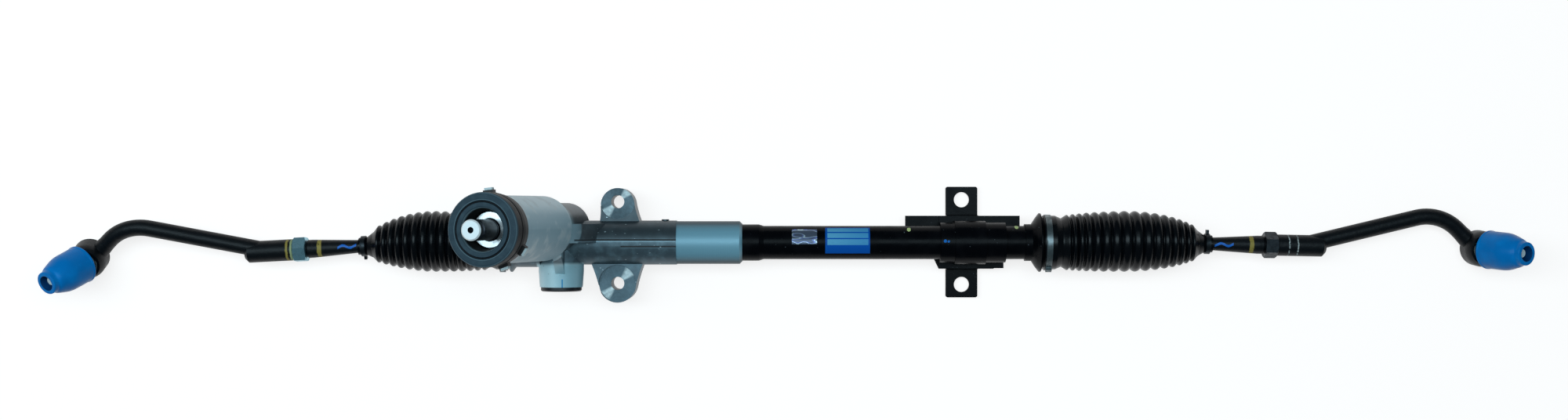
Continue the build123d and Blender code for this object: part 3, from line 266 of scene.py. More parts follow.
class Finish:
    """A material being built: constants sit on the shader, layers are chained through it."""

    def __init__(self, name, colour, roughness, metallic=0.0, specular=0.5):
        """Start from plain constants; each layer of paint is mixed over them."""
        self.material = bpy.data.materials.new(name)
        self.material.use_nodes = True
        self.tree = self.material.node_tree
        self.shader = self.tree.nodes["Principled BSDF"]
        self.point = self.tree.nodes.new("ShaderNodeTexCoord").outputs["Object"]
        self.colour_now = (*colour, 1)
        self.roughness_now = roughness
        self.metallic_now = metallic
        self.shader.inputs["Base Color"].default_value = (*colour, 1)
        self.shader.inputs["Roughness"].default_value = roughness
        self.shader.inputs["Metallic"].default_value = metallic
        self.shader.inputs["Specular IOR Level"].default_value = specular
        self.normal_now = None

    def node(self, kind, inputs, output=0, **settings):
        """Add a node; an input that is a socket is linked, anything else is set."""
        new = self.tree.nodes.new("ShaderNode" + kind)
        for key, value in settings.items():
            setattr(new, key, value)
        for key, value in inputs.items():
            if isinstance(value, bpy.types.NodeSocket):
                self.tree.links.new(value, new.inputs[key])
            else:
                new.inputs[key].default_value = value
        return new.outputs[output]

    def maths(self, operation, a, b=0.0, c=0.0):
        """One arithmetic step on up to three numbers or sockets."""
        return self.node("Math", {0: a, 1: b, 2: c}, operation=operation)

    def dot(self, origin, direction):
        """Distance along a direction from an origin: (point - origin) . direction."""
        offset = self.node("VectorMath", {0: self.point, 1: tuple(origin)}, operation="SUBTRACT")
        return self.node("VectorMath", {0: offset, 1: tuple(direction)}, "Value",
                         operation="DOT_PRODUCT")

    def along(self, place):
        """Distance along a place's axis."""
        return self.dot(place[0], place[1][2])

    def around(self, place):
        """Distance from a place's axis: root of the two crosswise distances squared."""
        x, y = (self.dot(place[0], place[1][i]) for i in (0, 1))
        return self.node("Math", {0: self.maths("ADD", self.maths("MULTIPLY", x, x),
                                                self.maths("MULTIPLY", y, y))},
                         operation="SQRT")

    def angle(self, place):
        """Angle about a place's axis, in turns from -0.5 to 0.5."""
        x, y = (self.dot(place[0], place[1][i]) for i in (0, 1))
        return self.maths("DIVIDE", self.maths("ARCTAN2", y, x), 2 * math.pi)

    def noise(self, size, detail=3.0, stretch=(1, 1, 1), rough=0.5):
        """Cloudy pattern from 0 to 1 whose blots are about size metres across."""
        scale = tuple(s / size for s in stretch)
        place = self.node("Mapping", {"Vector": self.point, "Scale": scale})
        return self.node("TexNoise", {"Vector": place, "Scale": 1.0, "Detail": detail,
                                      "Roughness": rough}, "Fac")

    def waves(self, value, length):
        """Sine of a value, one whole wave in each length."""
        return self.maths("SINE", self.maths("MULTIPLY", value, 2 * math.pi / length))

    def rise(self, value, low, high):
        """0 below low, 1 above high, and a soft S between."""
        return self.node("MapRange", {"Value": value, "From Min": low, "From Max": high},
                         interpolation_type="SMOOTHSTEP")

    def band(self, value, low, high, edge):
        """1 between low and high, with soft edges."""
        up = self.rise(value, low - edge, low + edge)
        down = self.rise(value, high + edge, high - edge)
        return self.maths("MULTIPLY", up, down)

    def both(self, *masks):
        """Product of several masks."""
        product = masks[0]
        for mask in masks[1:]:
            product = self.maths("MULTIPLY", product, mask)
        return product

    def any_of(self, *masks):
        """Largest of several masks."""
        most = masks[0]
        for mask in masks[1:]:
            most = self.maths("MAXIMUM", most, mask)
        return most

    def mix(self, mask, below, above):
        """The number below where the mask is 0, the number above where it is 1."""
        return self.node("Mix", {"Factor": mask, MIX_NUMBER_A: below, MIX_NUMBER_B: above})

    def paint(self, mask, colour, roughness=None, metallic=None):
        """Lay a colour, and if given a roughness and metalness, over the finish."""
        self.colour_now = self.node(
            "Mix", {"Factor": mask, MIX_COLOUR_A: self.colour_now, MIX_COLOUR_B: (*colour, 1)},
            MIX_COLOUR_OUT, data_type="RGBA")
        if roughness is not None:
            self.roughness_now = self.mix(mask, self.roughness_now, roughness)
        if metallic is not None:
            self.metallic_now = self.mix(mask, self.metallic_now, metallic)

    def relief(self, height, depth):
        """Raise the surface by height (0 to 1) times depth metres, as shading only."""
        inputs = {"Height": height, "Distance": depth, "Strength": 1.0}
        if self.normal_now is not None:
            inputs["Normal"] = self.normal_now
        self.normal_now = self.node("Bump", inputs)

    def done(self):
        """Link the finished chains to the shader and hand back the material."""
        ends = {"Base Color": self.colour_now, "Roughness": self.roughness_now,
                "Metallic": self.metallic_now, "Normal": self.normal_now}
        for socket, value in ends.items():
            if isinstance(value, bpy.types.NodeSocket):
                self.tree.links.new(value, self.shader.inputs[socket])
        return self.material


def wear(material, *names):
    """Give a finish to model pieces in place of what they came with."""
    for name in names:
        mesh = nodes[name].data
        mesh.materials.clear()
        mesh.materials.append(material)


def both_sides(*names):
    """Each name with _left and _right after it."""
    return [f"{name}_{side}" for name in names for side in HAND]


print("finish builder ready")

# %% [markdown]
# ## Cast aluminium
# The housing is one casting with three kinds of surface.  The body is the skin of a die:
# grey, a little uneven.  The tower was blasted, which makes it pale and even.  The sleeve
# and the two eyes were cut on a machine, so they carry fine rings: along the sleeve, and
# round each bolt hole.  Light and shade are painted into the colours as well: painted
# shade on the body's far half, the sleeve's flanks, one side of the boss and the grooves,
# and painted highlights on the boss, the tower's far shoulder, beside the grooves and in
# two bright wedges round each bolt hole, where rings of cut metal would throw them.  One
# material holds all three, masked by where the point is on the casting.

# %% Places and colours of the housing
SLEEVE_STEP = 53.9 * MM
SLEEVE_CORE = (16 * MM, 17 * MM)
SLEEVE_SHADE_HEIGHTS = (17.5 * MM, 8 * MM)
BODY_SHADE_EDGE = (1 * MM, 5 * MM)
TOWER_RADIUS = 29.4 * MM
TOWER_PALE = (21 * MM, 39 * MM)
TOWER_LIT_SHOULDER = (24 * MM, 36 * MM)
YOKE_AXIS_X = PINION[0][0]
YOKE_RADIUS = 21.2 * MM
YOKE = axis_place((YOKE_AXIS_X, 0, 0), (0, -1, 0), Z)
BOSS_FROM = (17 * MM, 22 * MM)
BOSS_SHADED_SIDE = (-9 * MM, 5 * MM)
LUG_Y = 37.25 * MM
LUG_FACE_Z = 2.0 * MM
LUG_FACE_RADIUS = 16.6 * MM
GROOVES = ((2.6 * MM, -36.0 * MM), (-3.4 * MM, 4.0 * MM))
GROOVE_TOP = (12 * MM, 14 * MM)

DIE_GREY, DIE_PALE, DIE_SHADE = (0.085, 0.125, 0.150), (0.15, 0.23, 0.27), (0.040, 0.052, 0.060)
SLEEVE_LIT, SLEEVE_SHADE = (0.21, 0.42, 0.52), (0.050, 0.090, 0.110)
BOSS_LIT, BOSS_SHADE = (0.72, 0.94, 0.99), (0.40, 0.64, 0.72)
TOWER_GREY, TOWER_CLOUD, TOWER_PAINTED_LIGHT = (0.37, 0.53, 0.60), (0.56, 0.68, 0.72), (0.66, 0.80, 0.85)
FACE_GREY, FACE_PAINTED_HIGHLIGHT = (0.12, 0.19, 0.23), (0.90, 1.0, 1.0)
GROOVE_SHADE, GROOVE_HIGHLIGHT, NICK = (0.012, 0.016, 0.02), (0.18, 0.28, 0.33), (0.42, 0.52, 0.56)
MARK_BLUE = (0.02, 0.30, 0.62)
print("yoke boss on x =", round(YOKE_AXIS_X, 4), "m, bolt holes at y = +-", LUG_Y, "m")

# %% Paint of the body, sleeve, boss and tower


def cast_body():
    """Mottled die skin, with painted shade over the half of the housing beyond the rack's axis."""
    finish = Finish("cast_aluminium", DIE_GREY, 0.44, metallic=0.5)
    finish.paint(finish.rise(finish.noise(9 * MM, 4.0), 0.42, 0.78), DIE_PALE, 0.52)
    # painted shade: the body's half beyond the rack's axis is darkened as if in shade
    body_shade = finish.rise(finish.dot(ORIGIN, Y), *BODY_SHADE_EDGE)
    finish.paint(finish.maths("MULTIPLY", body_shade, 0.75), DIE_SHADE, 0.40)
    return finish


def paint_sleeve(finish):
    """Turned sleeve, pale as lit on top, with painted shade on its lower flanks; hands back the
    sleeve's mask.
    """
    past_step = finish.rise(finish.along(RACK), SLEEVE_STEP - 0.2 * MM, SLEEVE_STEP + 0.2 * MM)
    sleeve = finish.both(past_step, finish.rise(finish.around(RACK), *SLEEVE_CORE))
    finish.paint(sleeve, SLEEVE_LIT, 0.42, 0.15)
    # painted shade: below its top the sleeve darkens, as shade falls on the flanks of a round bar
    flank = finish.rise(finish.dot(ORIGIN, Z), *SLEEVE_SHADE_HEIGHTS)
    finish.paint(finish.both(sleeve, flank), SLEEVE_SHADE, 0.5)
    return sleeve


def paint_boss(finish):
    """Yoke boss in a painted highlight, with painted shade on the side that faces the lugs."""
    aside = finish.dot((YOKE_AXIS_X, 0, 0), X)
    boss = finish.both(finish.rise(finish.along(YOKE), *BOSS_FROM),
                       finish.band(aside, -YOKE_RADIUS, YOKE_RADIUS, 1 * MM))
    # painted highlight over the whole boss, then painted shade on its side towards the lugs
    finish.paint(boss, BOSS_LIT, 0.38, 0.1)
    finish.paint(finish.both(boss, finish.rise(aside, *BOSS_SHADED_SIDE)), BOSS_SHADE, 0.38)


def paint_tower(finish):
    """Blasted tower: grey, with painted light on its far shoulder and slow clouds."""
    rim = finish.rise(finish.around(PINION), TOWER_RADIUS + 1.5 * MM, TOWER_RADIUS + 0.3 * MM)
    tower = finish.both(finish.rise(finish.along(PINION), *TOWER_PALE), rim)
    finish.paint(tower, TOWER_GREY, 0.50, 0.1)
    # painted light: the far shoulder is made paler, as if lit from that side
    shoulder = finish.rise(finish.dot(ORIGIN, Y), *TOWER_LIT_SHOULDER)
    finish.paint(finish.both(tower, shoulder), TOWER_PAINTED_LIGHT, 0.45)
    cloud = finish.rise(finish.noise(15 * MM, 2.0), 0.48, 0.68)
    finish.paint(finish.both(tower, cloud), TOWER_CLOUD, 0.45)


print("coats of the body, sleeve, boss and tower ready")

# %% Cut faces, grooves and marks of the housing


def paint_eyes(finish):
    """Faces round the bolt holes, each with two wedges of painted highlight; hands back their
    mask.

    A wedge is where the sine of twice the angle about the hole is near its top.
    """
    faces = []
    for hand in (1, -1):
        eye = axis_place((0, hand * LUG_Y, 0), Z, X)
        radius = finish.around(eye)
        face = finish.both(finish.rise(radius, LUG_FACE_RADIUS, LUG_FACE_RADIUS - 0.4 * MM),
                           finish.band(finish.along(eye), LUG_FACE_Z - 0.2 * MM,
                                       LUG_FACE_Z + 0.2 * MM, 0.1 * MM))
        faces.append(face)
        # painted highlight: two bright wedges round each hole, placed where the cut rings would
        # reflect light
        wedges = finish.rise(finish.waves(finish.angle(eye), 0.5), 0.70, 0.98)
        finish.paint(finish.both(face, wedges), FACE_PAINTED_HIGHLIGHT, 0.30)
        finish.relief(finish.both(face, finish.waves(radius, 0.9 * MM)), 0.05 * MM)
    face = finish.any_of(*faces)
    finish.paint(finish.both(face, finish.noise(3 * MM)), FACE_GREY, 0.32)
    return face


def paint_grooves(finish):
    """Two parting lines along the body, each a line of painted shade with a painted highlight
    beside it.
    """
    for line_y, line_x in GROOVES:
        across = finish.dot((0, line_y, 0), Y)
        span = finish.both(finish.band(finish.along(RACK), line_x, SLEEVE_STEP, 0.4 * MM),
                           finish.rise(finish.dot(ORIGIN, Z), *GROOVE_TOP))
        # painted shade down each groove and a painted highlight along its edge
        dark = finish.band(across, -0.7 * MM, 0.7 * MM, 0.3 * MM)
        edge = finish.band(across, -1.5 * MM, -1.0 * MM, 0.25 * MM)
        finish.paint(finish.both(span, dark), GROOVE_SHADE, 0.6, 0.0)
        finish.paint(finish.both(span, edge), GROOVE_HIGHLIGHT, 0.35)


def paint_mark(finish):
    """A blue stroke of ink along the yoke boss."""
    mark = finish.both(
        finish.band(finish.dot((YOKE_AXIS_X, 0, 0), X), 2.2 * MM, 3.4 * MM, 0.2 * MM),
        finish.band(finish.along(YOKE), 33 * MM, 41 * MM, 0.5 * MM),
        finish.rise(finish.dot(ORIGIN, Z), 0.0, 1 * MM))
    finish.paint(mark, MARK_BLUE, 0.4, 0.0)


def cast_housing_finish():
    """Die skin, turned sleeve, bright boss, blasted tower and cut faces in one material."""
    finish = cast_body()
    sleeve = paint_sleeve(finish)
    paint_boss(finish)
    paint_tower(finish)
    face = paint_eyes(finish)
    rings = finish.waves(finish.along(RACK), 1.1 * MM)
    finish.relief(finish.both(sleeve, rings), 0.012 * MM)
    uncut = finish.maths("SUBTRACT", 1.0, finish.any_of(sleeve, face))
    finish.relief(finish.both(uncut, finish.noise(0.9 * MM, 2.0)), 0.05 * MM)
    paint_grooves(finish)
    nick = finish.rise(finish.noise(4 * MM, 1.0, stretch=(1, 2.5, 1)), 0.74, 0.78)
    finish.paint(finish.both(nick, uncut), NICK, 0.3)
    paint_mark(finish)
    return finish.done()


wear(cast_housing_finish(), "gear_housing")
print("housing dressed")

# %% [markdown]
# ## Black paint and forged steel
# The tube, its cup and the bracket are dipped in gloss black, so they are nearly black with
# a soft sheen, a slight orange peel and a few pale specks.  The tube's own material also
# carries what is stuck or dabbed on it: a plain two-tone label, a patterned foil and two
# yellow dots, each masked by where the point lies on the tube.  The tie rods were forged
# first, so under the paint their skin is lumpier and duller.

# %% Places and colours of the painted pieces
BLACK, BLACK_CLOUD = (0.0013, 0.0017, 0.0028), (0.0026, 0.0028, 0.0042)
DUST_SPECK = (0.10, 0.11, 0.12)
ORANGE_PEEL = 0.05 * MM
SHEET_EDGE = 0.25
LABEL = (189.0, 229.5, -9.7, 13.6)
LABEL_MARGIN = (1.9, 1.6)
LABEL_FIELDS = ((9.9, 13.0), (4.4, 8.8), (-2.0, 3.2))
LABEL_BLUE, FIELD_PALE, FIELD_DEEP = (0.004, 0.10, 0.46), (0.12, 0.42, 0.66), (0.035, 0.26, 0.56)
FOIL = (158.8, 181.5, -1.3, 12.2)
FOIL_GREY = (0.10, 0.12, 0.17)
FOIL_FACETS = ((0.52, (0.55, 0.66, 0.75)), (0.60, (0.18, 0.22, 0.55)))
YELLOW_DOTS = ((264.9, 11.9, 1.8), (363.0, 14.1, 1.8))
BLUE_DOTS = ((297.4, 1.6, 1.5), (300.6, 1.2, 1.2))
DOT_YELLOW, DOT_BLUE = (0.68, 0.76, 0.30), (0.008, 0.16, 0.55)
FORGED_BLACK, FORGED_WORN = (0.0012, 0.0026, 0.0044), (0.0042, 0.0046, 0.0056)
for sheet, (left, right, low, high) in {"label": LABEL, "foil": FOIL}.items():
    print(sheet, round(right - left, 1), "mm along the tube,", round(high - low, 1), "mm across")

# %% Painted and forged finishes


def gloss_black(name, roughness):
    """Dipped paint: near black, a soft orange peel, pale specks of dust."""
    finish = Finish(name, BLACK, roughness, specular=0.06)
    cloud = finish.rise(finish.noise(14 * MM, 3.0), 0.4, 0.8)
    finish.paint(cloud, BLACK_CLOUD, roughness + 0.14)
    finish.paint(finish.rise(finish.noise(2.2 * MM, 1.0), 0.76, 0.80), DUST_SPECK, 0.6)
    finish.relief(finish.noise(3.5 * MM, 2.0), ORANGE_PEEL)
    return finish


def sheet_mask(finish, left, right, low, high):
    """1 on the upper side of the tube between two X and two Y distances in millimetres."""
    return finish.both(
        finish.band(finish.along(RACK), left * MM, right * MM, SHEET_EDGE * MM),
        finish.band(finish.dot(ORIGIN, Y), low * MM, high * MM, SHEET_EDGE * MM),
        finish.rise(finish.dot(ORIGIN, Z), 0.0, 1 * MM))


def dab(finish, x, y, radius, colour):
    """A round touch of paint with an uneven edge, seen from above."""
    spot = axis_place((x * MM, y * MM, 0), Z, X)
    wobble = finish.maths("MULTIPLY", finish.noise(2 * MM), 0.8 * MM)
    reach = finish.maths("ADD", finish.around(spot), wobble)
    inside = finish.rise(reach, (radius + 0.5) * MM, (radius + 0.1) * MM)
    above = finish.rise(finish.dot(ORIGIN, Z), 0.0, 1 * MM)
    finish.paint(finish.both(inside, above), colour, 0.4)


def tube_finish():
    """The tube's paint with a plain label, a patterned foil and two yellow dabs."""
    finish = gloss_black("tube_black", 0.27)
    finish.paint(sheet_mask(finish, *LABEL), LABEL_BLUE, 0.35)
    left, right = LABEL[:2]
    for low, high in LABEL_FIELDS:
        tint = finish.rise(finish.dot(ORIGIN, X), left * MM, right * MM)
        field = sheet_mask(finish, left + LABEL_MARGIN[0], right - LABEL_MARGIN[1], low, high)
        finish.paint(field, FIELD_PALE, 0.4)
        finish.paint(finish.maths("MULTIPLY", finish.both(field, tint), 0.6), FIELD_DEEP, 0.4)
    foil = sheet_mask(finish, *FOIL)
    finish.paint(foil, FOIL_GREY, 0.3, 0.4)
    for level, colour in FOIL_FACETS:
        facet = finish.noise(9 * MM, 0.0, stretch=(1, 2.6, 1))
        streak = finish.band(facet, level, level + 0.05, 0.01)
        finish.paint(finish.both(foil, streak), colour, 0.25)
    for dot in YELLOW_DOTS:
        dab(finish, *dot, DOT_YELLOW)
    return finish.done()


def saddle_black():
    """The bracket's paint, with two touches of blue ink."""
    finish = gloss_black("bracket_black", 0.26)
    for dot in BLUE_DOTS:
        dab(finish, *dot, DOT_BLUE)
    return finish.done()


def forged_black(name):
    """Scaled forging under thin paint: lumpy, dull, worn paler on the highest spots."""
    finish = Finish(name, FORGED_BLACK, 0.44, specular=0.23)
    lumps = finish.noise(5 * MM, 4.0, rough=0.6)
    finish.paint(finish.rise(lumps, 0.55, 0.8), FORGED_WORN, 0.5)
    finish.relief(lumps, 0.34 * MM)
    finish.relief(finish.noise(1.3 * MM, 2.0), 0.05 * MM)
    return finish


wear(tube_finish(), "rack_tube")
wear(gloss_black("cup_black", 0.27).done(), "tube_end_cup")
wear(saddle_black(), "bracket_base", "bracket_saddle")
print("black pieces dressed")

# %% [markdown]
# ## Rings and dabs of inspection paint on the rods
# An assembler marks each joint that has been tightened: a yellow ring on the rod, a pair
# of thin rings on the sleeve, a stroke of blue.  They are thin coats, so they belong in the
# rod's own material, as bands of distance along the rod broken up by noise.

# %% Tie rod finishes
YELLOW_RING, PALE_RING, WHITE_RING = (0.34, 0.25, 0.055), (0.36, 0.40, 0.20), (0.5, 0.52, 0.5)
INK_BLUE = (0.010, 0.15, 0.60)
ROD_STROKE = (69, 86, 0.4)
ROD_RING = (101, 104.6)
SLEEVE_RINGS = {
    "left": ((127.5, 129.5, 0.3, PALE_RING), (131.5, 133.5, 0.3, YELLOW_RING)),
    "right": ((136.5, 137.6, 0.5, WHITE_RING), (144.5, 145.6, 0.5, WHITE_RING)),
}
MOUTH_RIM = (0.10, 0.095, 0.085)


def ring_mask(finish, place, low, high, patchy=0.35):
    """A band along the axis with an uneven brushed edge and thin patches."""
    wobble = finish.maths("MULTIPLY", finish.noise(4 * MM), 1.6 * MM)
    distance = finish.maths("ADD", finish.along(place), wobble)
    band = finish.band(distance, (low + 0.8) * MM, (high + 0.8) * MM, 0.35 * MM)
    return finish.both(band, finish.rise(finish.noise(2.5 * MM), patchy - 0.12, patchy + 0.08))


def stroke_mask(finish, place, low, high, across):
    """A hand-drawn wavy stroke along the top of a rod: across distance near a sine wave."""
    distance = finish.along(place)
    wave = finish.waves(distance, 13 * MM)
    offset = finish.maths("SUBTRACT", finish.dot(place[0], place[1][1]),
                          finish.maths("MULTIPLY_ADD", wave, 1.1 * MM, across * MM))
    ragged = finish.maths("MULTIPLY", finish.noise(2 * MM), 0.9 * MM)
    reach = finish.maths("ADD", finish.maths("ABSOLUTE", offset), ragged)
    near = finish.rise(reach, 1.9 * MM, 1.2 * MM)
    top = finish.rise(finish.dot(place[0], Z), 0.0, 2 * MM)
    return finish.both(near, top, finish.band(distance, low * MM, high * MM, 0.5 * MM))


def rod_finish(side):
    """Forged rod with a blue stroke near the boot and a yellow ring near the nut."""
    finish = forged_black(f"rod_{side}")
    finish.paint(stroke_mask(finish, ROD[side], *ROD_STROKE), INK_BLUE, 0.35)
    finish.paint(ring_mask(finish, ROD[side], *ROD_RING), YELLOW_RING, 0.5)
    return finish.done()


def rod_end_finish(side):
    """Forged rod end with its sleeve's rings and a lighter machined mouth."""
    finish = forged_black(f"rod_end_{side}")
    for low, high, patchy, colour in SLEEVE_RINGS[side]:
        finish.paint(ring_mask(finish, ROD[side], low, high, patchy), colour, 0.5)
    rim = finish.both(finish.rise(finish.along(STUD[side]), 6.0 * MM, 7.5 * MM),
                      finish.rise(finish.around(STUD[side]), 19 * MM, 18 * MM))
    finish.paint(rim, MOUTH_RIM, 0.4, 0.6)
    return finish.done()


for side in HAND:
    wear(rod_finish(side), f"inner_tie_rod_{side}")
    wear(rod_end_finish(side), f"tie_rod_end_{side}")
print("rods dressed")

# %% [markdown]
# ## Plated, ground and turned steel
# One nut and the closing plates are bright with zinc, the boot bands are duller, the other
# nut and the clips are blackened: one recipe with three colours, cloudy where the bath
# was uneven.  The rack, the bearing rings and the ball studs are ground, so they have fine
# lines round their axis.  The pinion shaft is dark from heat treatment, but its
# end was faced on a lathe after that and is bright.

# %% Steel finishes
SHAFT_END = 199.0 * MM
STUD_TIP = 46.0 * MM
CENTRE_DRILL = (2.5 * MM, 2.8 * MM)
ZINC_BRIGHT, ZINC_DULL, BLACKENED = (0.30, 0.56, 0.66), (0.15, 0.18, 0.19), (0.030, 0.036, 0.042)
RACK_STEEL, BEARING_STEEL, SPRING_STEEL = (0.42, 0.44, 0.45), (0.5, 0.52, 0.53), (0.28, 0.29, 0.30)
STUD_STEEL, STUD_FACE_PAINTED_LIGHT = (0.72, 0.84, 0.88), (0.82, 0.90, 0.92)
SHAFT_DARK, SHAFT_CLOUD = (0.014, 0.018, 0.026), (0.03, 0.035, 0.045)
SHAFT_FACED = (0.86, 0.90, 0.91)


def scaled(colour, share):
    """A colour at a share of its strength."""
    return tuple(share * c for c in colour)


def plated(name, colour):
    """Plated or blackened steel: cloudy where the bath was uneven, with fine scratches."""
    finish = Finish(name, colour, 0.34, metallic=0.9)
    finish.paint(finish.rise(finish.noise(4 * MM), 0.4, 0.7), scaled(colour, 0.6), 0.5)
    finish.relief(finish.noise(1.2 * MM, 2.0, stretch=(1, 4, 4)), 0.03 * MM)
    return finish.done()


def ground_steel(name, place, colour, tip=None):
    """Ground steel with fine rings round its axis and, past the tip distance, a faced end in
    painted light.
    """
    finish = Finish(name, colour, 0.24, metallic=1.0)
    finish.paint(finish.rise(finish.noise(6 * MM), 0.5, 0.8), scaled(colour, 0.7), 0.34)
    finish.relief(finish.waves(finish.along(place), 0.8 * MM), 0.006 * MM)
    if tip is not None:
        # the faced tip is real; its pale, barely metallic colour is painted light, since the cap's
        # nozzle keeps the lamp off it
        faced = finish.rise(finish.along(place), tip - 0.4 * MM, tip - 0.2 * MM)
        finish.paint(faced, STUD_FACE_PAINTED_LIGHT, 0.5, 0.1)
    return finish.done()


def shaft_finish():
    """Dark heat-treated shaft with a bright faced end round a dark centre drill."""
    finish = Finish("pinion_steel", SHAFT_DARK, 0.30, metallic=0.6)
    finish.paint(finish.rise(finish.noise(5 * MM), 0.45, 0.75), SHAFT_CLOUD, 0.42)
    up = finish.along(PINION)
    finish.relief(finish.waves(up, 0.7 * MM), 0.008 * MM)
    faced = finish.both(finish.rise(up, SHAFT_END - 1.4 * MM, SHAFT_END - 1.0 * MM),
                        finish.rise(finish.around(PINION), *CENTRE_DRILL))
    finish.paint(faced, SHAFT_FACED, 0.45, 0.3)
    return finish.done()


wear(plated("zinc_bright", ZINC_BRIGHT), "jam_nut_left", *both_sides("socket_base_plate"))
wear(plated("zinc_dull", ZINC_DULL), *both_sides("boot_band"))
wear(plated("blackened", BLACKENED), "jam_nut_right", *both_sides("boot_clip"))
wear(ground_steel("rack_steel", RACK, RACK_STEEL), "rack_bar",
     *both_sides("inner_socket", "lock_washer"))
wear(ground_steel("bearing_steel", PINION, BEARING_STEEL), "pinion_bearing_outer",
     "pinion_bearing_inner", "pinion_bearing_balls", "pinion_needle_bush", "pinion_plug")
wear(shaft_finish(), "pinion_shaft")
for side in HAND:
    wear(ground_steel(f"stud_steel_{side}", STUD[side], STUD_STEEL, STUD_TIP),
         f"ball_stud_{side}")
wear(ground_steel("spring_steel", RACK, SPRING_STEEL), "yoke_spring")
print("steel pieces dressed")

# %% [markdown]
# ## Plastics and rubber
# Moulded pieces have almost no colour variation, so what gives them away is the surface: a
# fine grain, a slight waviness and a thin, cloudy bloom of dust.  The top bush is pressed
# from bronze powder and as grainy as a moulding, so it takes the same recipe in its own
# colour.

# %% Plastic and rubber finishes
COVER_FACE = (172.5 * MM, 174.5 * MM)
COVER_MOUTH = (17.0 * MM, 18.2 * MM)
COVER_BLACK = (0.0045, 0.0048, 0.0055)
COVER_SLATE, COVER_BLOOM = (0.036, 0.062, 0.082), (0.052, 0.086, 0.108)
COVER_HIGHLIGHT_AND_SHADE_RINGS = ((18.2, 19.0, (0.14, 0.20, 0.23)), (23.0, 24.5, (0.004, 0.006, 0.009)),
               (24.9, 25.5, (0.11, 0.17, 0.20)), (30.4, 31.2, (0.09, 0.14, 0.17)))
DUST, THICK_DUST = (0.05, 0.05, 0.05), (0.1, 0.1, 0.1)


def moulded(name, colour, roughness, grain=0.02 * MM, specular=0.4, dust=DUST):
    """Moulded plastic or rubber: fine grain, slow waviness, a little dust."""
    finish = Finish(name, colour, roughness, specular=specular)
    lighter = tuple(c + 0.25 * d for c, d in zip(colour, dust))
    finish.paint(finish.rise(finish.noise(8 * MM, 4.0), 0.45, 0.8), lighter, roughness + 0.1)
    finish.relief(finish.noise(1.0 * MM, 2.0), grain)
    finish.relief(finish.noise(12 * MM, 1.0), 4 * grain)
    return finish


def cover_finish():
    """Dust cover: slate-grey face with painted highlights on its edges and painted shade in its
    groove, black flank and mouth.
    """
    finish = moulded("cover_rubber", COVER_BLACK, 0.5, 0.03 * MM, 0.16)
    up, off = finish.along(PINION), finish.around(PINION)
    face = finish.both(finish.rise(up, *COVER_FACE), finish.rise(off, *COVER_MOUTH))
    finish.paint(face, COVER_SLATE, 0.62)
    bloom = finish.rise(finish.noise(7 * MM, 4.0), 0.4, 0.75)
    finish.paint(finish.both(face, bloom), COVER_BLOOM, 0.7)
    high = finish.rise(up, COVER_FACE[0], COVER_FACE[1] - 0.5 * MM)
    # rings of painted highlight on the lip and rim edges, and painted shade down the face's groove
    for low, high_edge, colour in COVER_HIGHLIGHT_AND_SHADE_RINGS:
        ring = finish.band(off, low * MM, high_edge * MM, 0.2 * MM)
        finish.paint(finish.both(high, ring), colour, 0.5)
    return finish.done()


wear(moulded("retainer_black", (0.014, 0.012, 0.012), 0.5).done(), "dust_cover_retainer")
wear(moulded("clip_plastic", (0.62, 0.72, 0.74), 0.4, dust=THICK_DUST).done(),
     "dust_cover_clips")
wear(moulded("bush_plastic", (0.55, 0.53, 0.47), 0.45).done(), "rack_bush", "support_yoke",
     *both_sides("inner_seat", "outer_seat"))
wear(moulded("bush_bronze", (0.42, 0.24, 0.09), 0.4).done(), "pinion_top_bush")
wear(moulded("plug_black", (0.010, 0.010, 0.014), 0.4).done(), "yoke_plug")
wear(moulded("seal_rubber", (0.008, 0.008, 0.009), 0.6).done(), "pinion_oil_seal", "yoke_o_ring")
print("plastic and rubber dressed")

# %% [markdown]
# ## Skins turned like pots
# Boots, caps and covers are all walls bent round an axis.  Each is drawn as a closed
# outline of its wall, cut lengthwise, and the outline is carried round the axis.  The
# outline closes on itself and so does the turn, so the skin has no seam, no pole and no
# open edge.  `rounded` softens the outline's corners, because no moulded edge is sharp:
# it is the thin highlight along each edge that makes a piece look solid.

# %% Rounded outlines and closed skins
SHARP_ANGLE = math.radians(40)


def rounded(corners, steps):
    """Points of a closed outline given as (radius, distance, fillet) corners in millimetres.

    Each corner is left at the fillet's length on either side, and the two points a and b
    are joined by (1-t)^2 a + 2t(1-t) corner + t^2 b.
    """
    corners = np.asarray(corners, float)
    points, fillet = corners[:, :2], corners[:, 2:]
    ends = []
    for step in (1, -1):
        edge = np.roll(points, step, 0) - points
        length = np.linalg.norm(edge, axis=1, keepdims=True)
        ends.append(points + edge / length * np.minimum(fillet, 0.48 * length))
    t = np.linspace(0, 1, steps)[:, None, None]
    curve = (1 - t)**2 * ends[0] + 2 * t * (1 - t) * points + t**2 * ends[1]
    return curve.transpose(1, 0, 2).reshape(-1, 2)


def lathe(place, outline, turns=96):
    """Carry an outline of (radius, distance) in millimetres round a place's axis."""
    radius, distance = (np.asarray(outline, float) * MM).T
    angle = 2 * np.pi * np.arange(turns) / turns
    local = np.stack([np.outer(np.cos(angle), radius), np.outer(np.sin(angle), radius),
                      np.broadcast_to(distance, (turns, len(radius)))], -1)
    return world(local, place)


